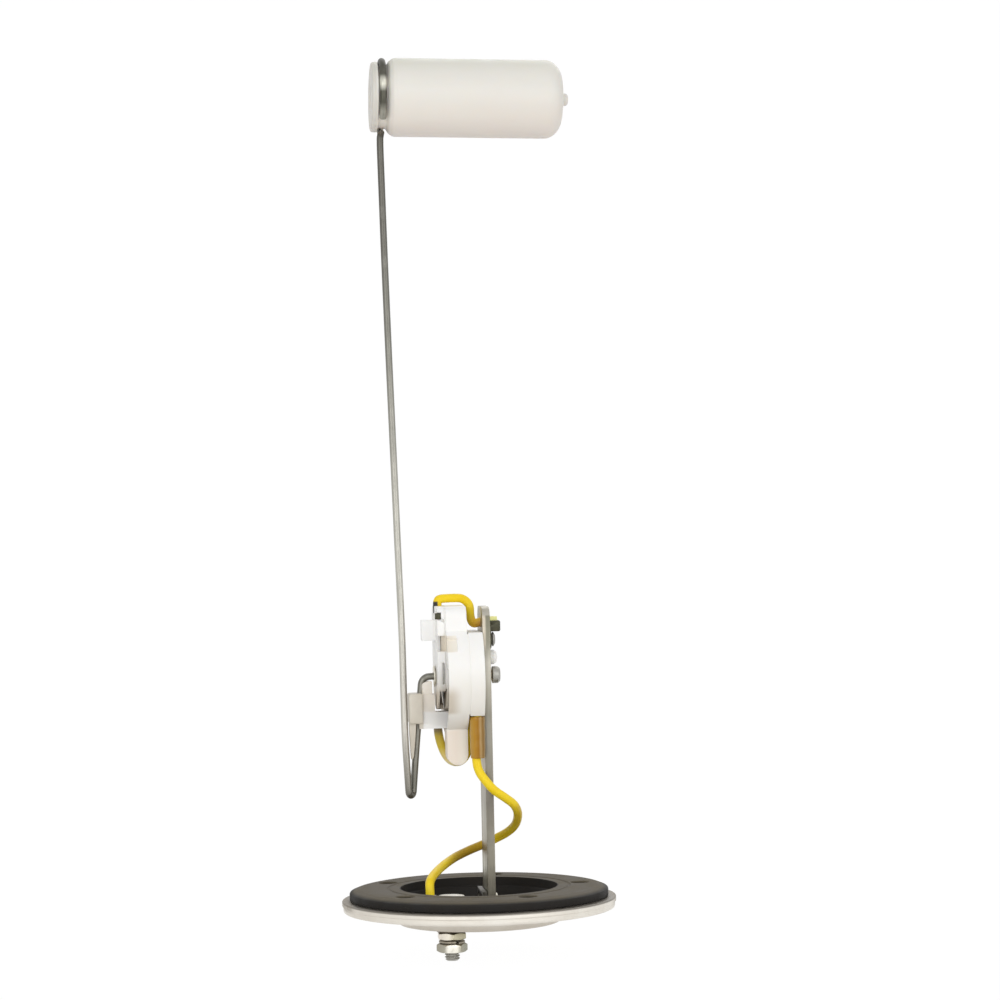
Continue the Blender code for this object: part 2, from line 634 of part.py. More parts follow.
def stud_assembly():
    """The insulated stud through the dish, with its nuts, washers and ring terminal."""
    centre = Vector((STUD_X, STUD_Y, 0))
    flange = DISH_FLOOR + SEAT_GAP
    flange_top = flange + BUSH_FLANGE_HEIGHT
    bush = turned("stud_bush", [
        (STUD_HOLE, flange_top), (BUSH_FLANGE_RADIUS, flange_top), (BUSH_FLANGE_RADIUS, flange),
        (BUSH_SLEEVE_RADIUS, flange), (BUSH_SLEEVE_RADIUS, SEAT_GAP), (STUD_HOLE, SEAT_GAP),
    ], FIBRE, SMALL_STEPS, centre)
    ring_bottom = flange_top + SEAT_GAP
    ring_terminal(ring_bottom)
    head_bottom = ring_bottom + RING_THICKNESS + SEAT_GAP
    head = hex_solid("terminal_stud", STUD_HEAD_HEIGHT, head_bottom, BRIGHT_STEEL,
                     chamfer_bottom=False)
    join(head, rod("stud_shank", STUD_RADIUS, centre + Vector((0, 0, -STUD_TAIL)),
                   centre + Vector((0, 0, head_bottom + JOIN_INTO))))
    level = -SEAT_GAP
    level = stack_washer("outer_washer", OUTER_WASHER_RADIUS, OUTER_WASHER_HEIGHT, level, FIBRE)
    level = stack_nut("stud_nut_inner", INNER_NUT_HEIGHT, level)
    level = stack_washer("spring_washer", SPRING_WASHER_RADIUS, SPRING_WASHER_HEIGHT, level,
                         DARK_STEEL)
    stack_nut("stud_nut_outer", OUTER_NUT_HEIGHT, level, OUTER_NUT_TURN)
    return bush


def stack_washer(name, radius, height, top, material):
    """A washer on the stud below a level. Gives the next level."""
    turned(name, [(STUD_HOLE, top), (radius, top), (radius, top - height),
                  (STUD_HOLE, top - height)], material, 24, (STUD_X, STUD_Y, 0))
    return top - height - SEAT_GAP


def stack_nut(name, height, top, turn=0.0):
    """A nut on the stud below a level. Gives the next level."""
    nut = hex_solid(name, height, top - height, BRIGHT_STEEL, turn=turn)
    bore(nut, STUD_HOLE, (STUD_X, STUD_Y, top - height), (STUD_X, STUD_Y, top))
    return top - height - SEAT_GAP


def barrel_place():
    return Vector((STUD_X + BARREL_REACH * math.cos(BARREL_ANGLE),
                   STUD_Y + BARREL_REACH * math.sin(BARREL_ANGLE), 0))


def ring_terminal(bottom):
    """A ring on the stud whose crimped barrel stands up at its side."""
    centre = Vector((STUD_X, STUD_Y, 0))
    barrel = barrel_place()
    top = bottom + RING_THICKNESS
    ring = rod("ring_terminal", RING_RADIUS, centre + Vector((0, 0, bottom)),
               centre + Vector((0, 0, top)), BRIGHT_STEEL, 24)
    out = (barrel - centre).normalized()
    side = Vector((-out.y, out.x, 0)) * BARREL_RADIUS * 0.8
    neck = [centre + side, barrel + side, barrel - side, centre - side]
    data = bpy.data.curves.new("terminal_neck", "CURVE")
    data.dimensions = "2D"
    data.fill_mode = "BOTH"
    data.extrude = RING_THICKNESS / 2
    line = data.splines.new("POLY")
    line.points.add(3)
    for point, at in zip(line.points, neck):
        point.co = (at.x, at.y, 0, 1)
    line.use_cyclic_u = True
    middle = Matrix.Translation((0, 0, (bottom + top) / 2))
    join(ring, place("terminal_neck", curve_mesh("terminal_neck", data), BRIGHT_STEEL, middle))
    join(ring, rod("terminal_barrel", BARREL_RADIUS, barrel + Vector((0, 0, bottom)),
                   barrel + Vector((0, 0, top + BARREL_HEIGHT))))
    bore(ring, STUD_HOLE, centre + Vector((0, 0, bottom)), centre + Vector((0, 0, top)))
    return ring


def stalk():
    """A flat strip that stands on the dish, notched at its top for the earth lead."""
    half = STALK_WIDTH / 2
    outline = [(-half, STALK_FOOT), (half, STALK_FOOT)]
    corner = STALK_TOP - STALK_CORNER
    outline += arc((half - STALK_CORNER, corner), STALK_CORNER, 0, math.pi / 2, 5)
    outline += arc((STALK_CORNER - half, corner), STALK_CORNER, math.pi / 2, math.pi, 5)
    strip = slab("stalk", outline, STALK_LEFT, STALK_RIGHT, STEEL)
    bottom = NOTCH_FLOOR + NOTCH_WIDTH / 2
    notch = [(NOTCH_Y + NOTCH_WIDTH / 2, STALK_TOP + CUT_PAST),
             (NOTCH_Y - NOTCH_WIDTH / 2, STALK_TOP + CUT_PAST)]
    notch += arc((NOTCH_Y, bottom), NOTCH_WIDTH / 2, math.pi, math.tau, 8)
    cut(strip, slab("stalk_notch", notch, STALK_LEFT - CUT_PAST, STALK_RIGHT + CUT_PAST))
    for radius, height in ((BEARING_RADIUS + BORE_GAP, PIVOT_HEIGHT),
                           (PEG_RADIUS + BORE_GAP, PEG_HEIGHT),
                           (FIXING_RADIUS + BORE_GAP, FIXING_HEIGHT)):
        bore(strip, radius, (STALK_LEFT, 0, height), (STALK_RIGHT, 0, height))
    for y in (-BRACKET_RIVET_SPACING / 2, BRACKET_RIVET_SPACING / 2):
        height = STALK_FOOT + BRACKET_RIVET_HEIGHT
        bore(strip, RIVET_RADIUS + BORE_GAP, (STALK_LEFT, y, height), (STALK_RIGHT, y, height))
    return strip


def rivet(name, low, high, head_side, material=BRIGHT_STEEL):
    """A rivet between two points, with a domed head past the end that head_side names."""
    low, high = Vector(low), Vector(high)
    start, end = (low, high) if head_side == "high" else (high, low)
    run = (end - start).length
    profile = [(0, run + RIVET_HEAD_HEIGHT), (RIVET_HEAD_RADIUS * 0.6, run + RIVET_HEAD_HEIGHT * 0.85),
               (RIVET_HEAD_RADIUS, run + RIVET_HEAD_HEIGHT * 0.35), (RIVET_HEAD_RADIUS, run),
               (RIVET_RADIUS, run), (RIVET_RADIUS, 0), (0, 0)]
    made = turned(name, profile, material, 16)
    turn = (end - start).to_track_quat("Z", "Y").to_matrix().to_4x4()
    made.matrix_world = Matrix.Translation(start) @ turn
    return made


def stalk_bracket():
    """An angle riveted to the strip and to the floor of the dish."""
    right = STALK_LEFT - SEAT_GAP
    left = right - BRACKET_THICKNESS
    toe = right - BRACKET_FOOT
    top = STALK_FOOT + BRACKET_HEIGHT
    foot_top = STALK_FOOT + BRACKET_THICKNESS
    inner, outer = BRACKET_BEND, BRACKET_BEND + BRACKET_THICKNESS
    bend = (right - outer, STALK_FOOT + outer)
    profile = [(toe, STALK_FOOT)]
    profile += arc(bend, outer, -math.pi / 2, 0, 4)
    profile += [(right, top), (left, top)]
    profile += arc(bend, inner, 0, -math.pi / 2, 4)
    profile += [(toe, foot_top)]
    half = STALK_WIDTH / 2
    angle = slab("stalk_bracket", profile, -half, half, BRIGHT_STEEL, "Y")
    cut(angle, box("bracket_relief", (toe - CUT_PAST, -half - CUT_PAST, STALK_FOOT - CUT_PAST),
                   (bend[0], BRACKET_FOOT_FRONT, foot_top + CUT_PAST)))
    for y in (-BRACKET_RIVET_SPACING / 2, BRACKET_RIVET_SPACING / 2):
        height = STALK_FOOT + BRACKET_RIVET_HEIGHT
        bore(angle, RIVET_RADIUS + BORE_GAP, (left, y, height), (right, y, height))
    for y in FOOT_RIVETS_Y:
        bore(angle, RIVET_RADIUS + BORE_GAP, (foot_rivet_x(), y, STALK_FOOT),
             (foot_rivet_x(), y, foot_top))
    for i, y in enumerate((-BRACKET_RIVET_SPACING / 2, BRACKET_RIVET_SPACING / 2)):
        height = STALK_FOOT + BRACKET_RIVET_HEIGHT
        rivet(f"bracket_rivet_{i + 1}", (left, y, height), (STALK_RIGHT + SEAT_GAP, y, height), "high")
    for i, y in enumerate(FOOT_RIVETS_Y):
        rivet(f"foot_rivet_{i + 1}", (foot_rivet_x(), y, SEAT_GAP),
              (foot_rivet_x(), y, foot_top + SEAT_GAP), "high")
    return angle


def saddle_x():
    """Where the earth lead stands in the cover's top edge."""
    return COVER_LEFT - SADDLE_PROUD + LEAD_RADIUS


def cut_saddle(part):
    """Cuts the notch in a top edge that the earth lead stands in."""
    half = LEAD_RADIUS + SEAT_GAP
    cut(part, box(f"{part.name}_saddle",
                  (COVER_LEFT - CUT_PAST, SADDLE_Y - half, BODY_TOP - SADDLE_DEPTH),
                  (saddle_x() + half, SADDLE_Y + half, BODY_TOP + CUT_PAST)))


def body_outline(radius, half_width, top, corner):
    """A disc about the axle with an upright block on it, as (y, z) points."""
    half_width = min(half_width, radius)
    start = math.acos(half_width / radius)
    points = arc((0, PIVOT_HEIGHT), radius, start, -math.pi - start, 44)
    points += arc((corner - half_width, top - corner), corner, math.pi, math.pi / 2, 4)
    points += arc((half_width - corner, top - corner), corner, math.pi / 2, 0, 4)
    return points


def swing_slot(inner, outer, end_gap):
    """The arc that the crossbar sweeps, from straight down to level at the front."""
    end = CROSSBAR_WIDTH / 2 + end_gap
    outer_turn, inner_turn = math.asin(end / outer), math.asin(end / inner)
    low, level = -math.pi / 2, -math.pi
    points = arc((0, PIVOT_HEIGHT), outer, low + outer_turn, level - outer_turn, 14)
    points += arc((0, PIVOT_HEIGHT), inner, level - inner_turn, low + inner_turn, 12)
    return points


def window_turn():
    """The direction of a recess's middle from the axle."""
    return math.asin(min(1.0, WINDOW_ABOVE / BODY_RADIUS))


def sensor_housing():
    """The round shell with its tongue, open at the back, slotted for the crossbar."""
    shell = slab("sensor_housing", body_outline(BODY_RADIUS, BODY_HALF_WIDTH, BODY_TOP, BODY_CORNER),
                 BODY_LEFT, BODY_RIGHT, WHITE_PLASTIC)
    round_end = BODY_DEPTH / 2
    tongue_bottom = PIVOT_HEIGHT - TONGUE_BELOW
    tongue = arc(((BODY_LEFT + BODY_RIGHT) / 2, tongue_bottom + round_end), round_end,
                 -math.pi, 0, 10)
    tongue += [(BODY_RIGHT, PIVOT_HEIGHT), (BODY_LEFT, PIVOT_HEIGHT)]
    join(shell, slab("tongue", tongue, TONGUE_FRONT, TONGUE_BACK, WHITE_PLASTIC, "Y"))
    inside = body_outline(BODY_RADIUS - BODY_WALL, BODY_HALF_WIDTH - BODY_WALL,
                          BODY_TOP - BODY_WALL, BODY_CORNER - BODY_WALL / 2)
    cut(shell, slab("shell_inside", inside, BODY_LEFT + FRONT_WALL, BODY_RIGHT + CUT_PAST))
    slot = swing_slot(CROSSBAR_INNER - SWING_GAP, CROSSBAR_OUTER + SWING_GAP, SEAT_GAP)
    wall_right = BODY_LEFT + FRONT_WALL
    cut(shell, slab("swing_slot", slot, BODY_LEFT - CUT_PAST, wall_right + CUT_PAST / 2))
    bore(shell, AXLE_HOLE + BORE_GAP, (BODY_LEFT, 0, PIVOT_HEIGHT), (wall_right, 0, PIVOT_HEIGHT))
    bore(shell, LEAD_HOLE, (BODY_LEFT, SIGNAL_HOLE_Y, SIGNAL_HOLE_Z),
         (wall_right, SIGNAL_HOLE_Y, SIGNAL_HOLE_Z))
    for i, middle in enumerate((window_turn(), math.pi - window_turn())):
        half = WINDOW_HEIGHT / 2 / BODY_RADIUS
        recess = arc((0, PIVOT_HEIGHT), BODY_RADIUS + CUT_PAST, middle - half, middle + half, 3)
        recess += arc((0, PIVOT_HEIGHT), BODY_RADIUS - WINDOW_SINK, middle + half, middle - half, 3)
        cut(shell, slab(f"recess_{i}", recess, BODY_LEFT - CUT_PAST, BODY_LEFT + WINDOW_DEPTH))
    cut_saddle(shell)
    return shell


def sensor_base():
    """The rear moulding against the stalk, with a channel that the signal lead turns round in."""
    bottom_turn = -math.asin(BASE_BELOW / BODY_RADIUS)
    top_turn = math.asin((BASE_TOP - PIVOT_HEIGHT) / BODY_RADIUS)
    outline = arc((0, PIVOT_HEIGHT), BODY_RADIUS, bottom_turn, top_turn, 14)
    outline += arc((0, PIVOT_HEIGHT), BODY_RADIUS, math.pi - top_turn, math.pi - bottom_turn, 14)
    base = slab("sensor_base", outline, BASE_LEFT, BASE_RIGHT, WHITE_PLASTIC)
    head = STALK_RIGHT + SEAT_GAP
    end = head + PEG_HEAD_HEIGHT
    peg = [(0, end), (PEG_HEAD_RADIUS * 0.7, end - PEG_HEAD_HEIGHT * 0.12),
           (PEG_HEAD_RADIUS, end - PEG_HEAD_HEIGHT * 0.45), (PEG_HEAD_RADIUS, head),
           (PEG_RADIUS, head), (PEG_RADIUS, BASE_RIGHT - JOIN_INTO), (0, BASE_RIGHT - JOIN_INTO)]
    join(base, turned("peg", peg, WHITE_PLASTIC, 16, (0, 0, PEG_HEIGHT), "X"))
    cut(base, box("channel", (BASE_LEFT - CUT_PAST, CHANNEL_FRONT, BASE_BOTTOM - CUT_PAST),
                  (BASE_LEFT + CHANNEL_DEPTH, CHANNEL_BACK, PIVOT_HEIGHT - CHANNEL_BELOW)))
    for radius, height in ((BEARING_RADIUS + BORE_GAP, PIVOT_HEIGHT),
                           (FIXING_RADIUS + BORE_GAP, FIXING_HEIGHT)):
        bore(base, radius, (BASE_LEFT, 0, height), (BASE_RIGHT, 0, height))
    return base


def cover_outline(inset):
    """A block above the axle that ends in a half round below it, as (y, z) points."""
    half = COVER_HALF_WIDTH - inset
    top, corner = BODY_TOP - inset, BODY_CORNER - inset / 2
    points = arc((0, PIVOT_HEIGHT), COVER_NOSE_RADIUS - inset, 0, -math.pi, 18)
    points += arc((corner - half, top - corner), corner, math.pi, math.pi / 2, 4)
    points += arc((half - corner, top - corner), corner, math.pi / 2, 0, 4)
    return points


def housing_cover():
    """The thin front plate that stands off the shell on its own skirt."""
    cover = slab("housing_cover", cover_outline(0), COVER_LEFT, COVER_RIGHT, WHITE_PLASTIC)
    inside = COVER_LEFT + COVER_PLATE
    lug = PIVOT_HEIGHT + LUG_ABOVE
    join(cover, box("cover_lug", (COVER_LEFT - LUG_REACH, -LUG_WIDTH / 2, lug),
                    (COVER_LEFT + LUG_ROOT, LUG_WIDTH / 2, lug + LUG_HEIGHT)))
    cut(cover, slab("cover_pocket", cover_outline(COVER_SKIRT), inside, COVER_RIGHT + CUT_PAST))
    past = max(COVER_HALF_WIDTH, COVER_NOSE_RADIUS) + CUT_PAST
    nose_bottom = PIVOT_HEIGHT - COVER_NOSE_RADIUS - CUT_PAST
    left, right = COVER_LEFT - CUT_PAST, COVER_RIGHT + CUT_PAST
    cut(cover, box("cover_mouth", (COVER_LEFT + COVER_LIP, -past, nose_bottom),
                   (right, 0, PIVOT_HEIGHT - COVER_OPEN_BELOW)))
    cut(cover, box("cover_slot", (inside, -past, PIVOT_HEIGHT - COVER_SLOT_BELOW),
                   (inside + COVER_SLOT_WIDTH, -COVER_HALF_WIDTH / 2,
                    PIVOT_HEIGHT + COVER_SLOT_ABOVE)))
    window = PIVOT_HEIGHT + WINDOW_ABOVE
    cut(cover, box("cover_notch", (left, -past, window - WINDOW_HEIGHT / 2),
                   (right, COVER_NOTCH - COVER_HALF_WIDTH, window + WINDOW_HEIGHT / 2)))
    left_top, right_top = BODY_TOP - LATCH_LEFT_DROP, BODY_TOP - LATCH_RIGHT_DROP
    slit = [(left, left_top), (left, left_top - LATCH_WIDTH),
            (right, right_top - LATCH_WIDTH), (right, right_top)]
    cut(cover, slab("latch_slit", slit, -past, LATCH_DEPTH - COVER_HALF_WIDTH, along="Y"))
    cut_saddle(cover)
    bore(cover, BEARING_RADIUS + BORE_GAP, (COVER_LEFT, 0, PIVOT_HEIGHT),
         (COVER_RIGHT, 0, PIVOT_HEIGHT))
    return cover


def bushes():
    """The axle's bearings: one in the cover, one through the base and the stalk."""
    flange = COVER_LEFT - SEAT_GAP
    front = COVER_LEFT + COVER_PLATE
    turned("front_bush", [
        (AXLE_HOLE, front), (BEARING_RADIUS, front), (BEARING_RADIUS, flange),
        (BEARING_FLANGE_RADIUS, flange), (BEARING_FLANGE_RADIUS, flange - BEARING_FLANGE),
        (AXLE_HOLE, flange - BEARING_FLANGE),
    ], BRIGHT_STEEL, SMALL_STEPS, PIVOT, "X")
    end = REAR_FLANGE_LEFT + BEARING_FLANGE
    turned("rear_bush", [
        (AXLE_HOLE, end), (REAR_FLANGE_RADIUS, end), (REAR_FLANGE_RADIUS, REAR_FLANGE_LEFT),
        (BEARING_RADIUS, REAR_FLANGE_LEFT), (BEARING_RADIUS, BASE_LEFT), (AXLE_HOLE, BASE_LEFT),
    ], BRASS, SMALL_STEPS, PIVOT, "X")


def resistor():
    """The card in the shell, its wound arc, and the tag that the signal lead ends on."""
    rise = math.asin(CARD_TOP / CARD_RADIUS)
    outline = arc((0, PIVOT_HEIGHT), CARD_RADIUS, rise, -math.pi - rise, 30)
    card = slab("resistor_card", outline, CARD_LEFT, CARD_RIGHT, CARD)
    bore(card, BEARING_RADIUS + SWING_GAP, (CARD_LEFT, 0, PIVOT_HEIGHT),
         (CARD_RIGHT, 0, PIVOT_HEIGHT))
    start, end = WINDING_START, WINDING_START + WINDING_SWEEP
    band = arc((0, PIVOT_HEIGHT), WINDING_OUTER, end, start, 18)
    band += arc((0, PIVOT_HEIGHT), WINDING_INNER, start, end, 18)
    slab("resistance_winding", band, WINDING_LEFT, WINDING_RIGHT, RESISTANCE_WIRE)
    rod("signal_tag", TAG_RADIUS, (CARD_LEFT - SEAT_GAP - TAG_THICKNESS, SIGNAL_HOLE_Y, SIGNAL_HOLE_Z),
        (CARD_LEFT - SEAT_GAP, SIGNAL_HOLE_Y, SIGNAL_HOLE_Z), BRASS)


def contact_strip():
    """The strip in the cover's pocket that joins the axle to the earth lead."""
    middle = (COVER_LEFT + COVER_PLATE + BODY_LEFT) / 2
    left, right = middle - STRIP_THICKNESS / 2, middle + STRIP_THICKNESS / 2
    eye = AXLE_HOLE + STRIP_WIDTH / 2
    top = BODY_TOP - SADDLE_DEPTH - SEAT_GAP
    strip = rod("contact_strip", eye, (left, 0, PIVOT_HEIGHT), (right, 0, PIVOT_HEIGHT), BRASS, 24)
    run = [(-STRIP_WIDTH / 2, PIVOT_HEIGHT), (STRIP_WIDTH / 2, PIVOT_HEIGHT),
           (SADDLE_Y + STRIP_WIDTH / 2, top), (SADDLE_Y - STRIP_WIDTH / 2, top)]
    join(strip, slab("strip_run", run, left, right, BRASS))
    bore(strip, AXLE_HOLE, (left, 0, PIVOT_HEIGHT), (right, 0, PIVOT_HEIGHT))
    return strip


def earth_terminal():
    """A tongue under the fixing rivet, with a cradle above it for the earth lead's end."""
    left = STALK_RIGHT + SEAT_GAP
    right = left + EARTH_TONGUE_THICKNESS
    tongue = rod("earth_terminal", EARTH_TONGUE_RADIUS, (left, 0, FIXING_HEIGHT),
                 (right, 0, FIXING_HEIGHT), DARK_STEEL, 24)
    half = EARTH_TONGUE_RADIUS * 0.6
    bottom = EARTH_LEAD_Z - CRADLE_DEPTH
    join(tongue, box("earth_neck", (left, -half, FIXING_HEIGHT), (right, half, bottom + half)))
    far = left + CRADLE_LENGTH
    join(tongue, box("cradle", (left, NOTCH_Y - CRADLE_HALF_WIDTH, bottom),
                     (far, NOTCH_Y + CRADLE_HALF_WIDTH, EARTH_LEAD_Z), edge=CRADLE_EDGE))
    drill(tongue, LEAD_RADIUS + SEAT_GAP, (left - CUT_PAST, NOTCH_Y, EARTH_LEAD_Z),
          (far - CRADLE_END_WALL, NOTCH_Y, EARTH_LEAD_Z))
    bore(tongue, FIXING_RADIUS + BORE_GAP, (left, 0, FIXING_HEIGHT), (right, 0, FIXING_HEIGHT))
    head = right + SEAT_GAP
    inner = BASE_LEFT - SEAT_GAP
    high, low = head + FIXING_HEAD_HEIGHT, inner - FIXING_HEAD_HEIGHT / 2
    turned("fixing_rivet", [
        (0, high), (FIXING_HEAD_RADIUS * 0.6, high - FIXING_HEAD_HEIGHT * 0.15),
        (FIXING_HEAD_RADIUS, high - FIXING_HEAD_HEIGHT * 0.6), (FIXING_HEAD_RADIUS, head),
        (FIXING_RADIUS, head), (FIXING_RADIUS, inner), (FIXING_HEAD_RADIUS, inner),
        (FIXING_HEAD_RADIUS, low), (0, low),
    ], DARK_STEEL, 16, (0, 0, FIXING_HEIGHT), "X")


def ring_centre():
    """The centre of the wire ring, in the float's groove."""
    tilt = Matrix.Rotation(FLOAT_TILT, 3, "Y")
    return FLOAT_CENTRE + tilt @ Vector((-GROOVE_FROM_CENTRE, 0, 0))


def arm_points():
    """The float arm from the end of its axle to the cut end of its ring."""
    points = [Vector((AXLE_END_X, 0, PIVOT_HEIGHT))]
    down = PIVOT_HEIGHT - AXLE_BEND
    for across, up in arc((AXLE_START_X, down), AXLE_BEND, math.pi / 2, math.pi, 6):
        points.append(Vector((across, 0, up)))
    points.append(INNER_KNEE)
    middle = (HAIRPIN_INNER + HAIRPIN_OUTER) / 2
    reach = (HAIRPIN_INNER - HAIRPIN_OUTER) / 2
    for across, up in arc((0, 0), reach.length, 0, -math.pi, 10):
        points.append(middle + reach.normalized() * across + Vector((0, 0, up)))
    points.append(ARM_KNEE)
    tilt = Matrix.Rotation(FLOAT_TILT, 3, "Y")
    centre = ring_centre()
    turn = -ARM_LEG_Y
    start = Vector((ARM_LEG_TOP_LEAN, ARM_LEG_Y, -RING_CENTRE_RADIUS - turn))
    points.append(centre + tilt @ start)
    for i in range(1, 5):
        angle = i / 5 * math.pi / 2
        lean = ARM_LEG_TOP_LEAN * (1 - i / 5)
        points.append(centre + tilt @ Vector((lean, -turn * math.cos(angle),
                                              -RING_CENTRE_RADIUS - turn + turn * math.sin(angle))))
    for i in range(RING_STEPS + 1):
        angle = -math.pi / 2 + (RING_END_ANGLE + math.pi / 2) * i / RING_STEPS
        points.append(centre + tilt @ Vector((0, RING_CENTRE_RADIUS * math.cos(angle),
                                              RING_CENTRE_RADIUS * math.sin(angle))))
    return points


def float_arm():
    return wire("float_arm", arm_points(), WIRE_RADIUS, STEEL)


def float_body():
    """The sealed float: a rim, the groove for the ring, and a domed end with a nipple."""
    left, right = -FLOAT_LENGTH / 2, FLOAT_LENGTH / 2
    groove = left + FLOAT_RIM_LENGTH
    shoulder = groove + FLOAT_GROOVE
    profile = [(0, right + NIPPLE_LENGTH), (NIPPLE_RADIUS * 0.8, right + NIPPLE_LENGTH),
               (NIPPLE_RADIUS, right + NIPPLE_LENGTH * 0.7), (NIPPLE_RADIUS, right - FLOAT_END_SINK)]
    profile += [(FLOAT_END_FLAT * 0.6, right - FLOAT_END_SINK)]
    for i in range(8):
        angle = math.pi / 2 * (1 - i / 7)
        profile.append((FLOAT_END_FLAT + (FLOAT_RADIUS - FLOAT_END_FLAT) * math.cos(angle),
                        right - FLOAT_END + (FLOAT_END - FLOAT_END_DROP) * math.sin(angle)))
    profile += [(FLOAT_RADIUS, shoulder + FLOAT_SHOULDER),
                (FLOAT_RADIUS - FLOAT_SHOULDER_SINK, shoulder + FLOAT_SHOULDER * 0.4),
                (NECK_RADIUS, shoulder), (NECK_RADIUS, groove), (FLOAT_RIM_RADIUS, groove)]
    profile += arc((FLOAT_RIM_RADIUS - FLOAT_RIM_EDGE, left + FLOAT_RIM_EDGE), FLOAT_RIM_EDGE,
                   0, -math.pi / 2, 3)
    profile += [(0, left)]
    body = turned("float", profile, FLOAT_PLASTIC, 40)
    body.matrix_world = (Matrix.Translation(FLOAT_CENTRE) @ Matrix.Rotation(FLOAT_TILT, 4, "Y")
                         @ Matrix.Rotation(math.pi / 2, 4, "Y"))
    return body


def lever():
    """The block on the arm's inner leg, its cheek, and the crossbar into the housing."""
    right = BLOCK_LEFT + BLOCK_DEPTH
    half = BLOCK_WIDTH / 2
    low, high = TRACK_RADIUS + BLOCK_PAST_TRACK, BLOCK_BELOW
    block = box("lever", (BLOCK_LEFT, -half, PIVOT_HEIGHT - low), (right, half, PIVOT_HEIGHT - high),
                BEIGE_PLASTIC, BLOCK_EDGE)
    join(block, box("crossbar", (right - JOIN_INTO, -CROSSBAR_WIDTH / 2, PIVOT_HEIGHT - CROSSBAR_OUTER),
                    (CROSSBAR_RIGHT, CROSSBAR_WIDTH / 2, PIVOT_HEIGHT - CROSSBAR_INNER)))
    join(block, box("cheek", (right - JOIN_INTO, -CHEEK_WIDTH / 2,
                              PIVOT_HEIGHT - CROSSBAR_INNER - JOIN_INTO),
                    (COVER_LEFT - SWING_GAP, CHEEK_WIDTH / 2, PIVOT_HEIGHT - CHEEK_BELOW)))
    top = Vector((AXLE_START_X - AXLE_BEND, 0, PIVOT_HEIGHT - AXLE_BEND))
    drill(block, WIRE_RADIUS + BORE_GAP, INNER_KNEE, top)
    return block


def wiper():
    """The contact blade across the crossbar's end, with its button over the winding."""
    middle = PIVOT_HEIGHT - TRACK_RADIUS
    half = WIPER_LENGTH / 2
    blade = box("wiper", (WIPER_LEFT, -WIPER_WIDTH / 2, middle - half),
                (WIPER_LEFT + WIPER_THICKNESS, WIPER_WIDTH / 2, middle + half), BRASS)
    join(blade, rod("contact_button", CONTACT_RADIUS, (WIPER_LEFT + WIPER_THICKNESS / 2, 0, middle),
                    (WIPER_LEFT + WIPER_THICKNESS + CONTACT_HEIGHT, 0, middle), BRASS, 12))
    return blade


def axle_cap():
    end = CAP_LEFT + CAP_LENGTH
    floor = end - CAP_FLOOR
    return turned("axle_cap", [
        (0, end), (CAP_RADIUS * 0.75, end), (CAP_RADIUS, end - CAP_LENGTH * 0.3),
        (CAP_RADIUS, CAP_LEFT), (AXLE_HOLE, CAP_LEFT), (AXLE_HOLE, floor), (0, floor),
    ], DARK_STEEL, SMALL_STEPS, PIVOT, "X")


def earth_lead():
    """From the cover's top edge over the housing, down behind it and through the stalk."""
    saddle = saddle_x()
    over = BODY_TOP + SEAT_GAP + LEAD_RADIUS
    drop_x = (BODY_RIGHT + STALK_LEFT) / 2
    base_clear = BASE_TOP + SEAT_GAP + LEAD_RADIUS
    end = STALK_RIGHT + SEAT_GAP + CRADLE_LENGTH - CRADLE_END_WALL - SEAT_GAP
    route = [(saddle, SADDLE_Y, BODY_TOP - SADDLE_DEPTH + SEAT_GAP),
             (saddle + EARTH_RISE, SADDLE_Y, over - EARTH_ROUND),
             (saddle + EARTH_ROUND, SADDLE_Y, over),
             (saddle + EARTH_RUN, SADDLE_Y, over + EARTH_RISE),
             (drop_x - EARTH_DROP, SADDLE_Y, over - EARTH_DIP),
             (drop_x - EARTH_DIP, SADDLE_Y, over - EARTH_DROP),
             (drop_x, SADDLE_Y * 2 / 3 + NOTCH_Y / 3, base_clear + EARTH_LOW),
             (drop_x + EARTH_ASIDE, SADDLE_Y / 4 + NOTCH_Y * 3 / 4, base_clear + EARTH_LOWEST),
             (STALK_LEFT, NOTCH_Y, EARTH_LEAD_Z - EARTH_DIP),
             (STALK_RIGHT, NOTCH_Y, EARTH_LEAD_Z + EARTH_RISE),
             (end, NOTCH_Y, EARTH_LEAD_Z + EARTH_RISE)]
    return wire("earth_lead", smooth_route(route, EARTH_LEAD_STEP), LEAD_RADIUS, YELLOW_PVC)


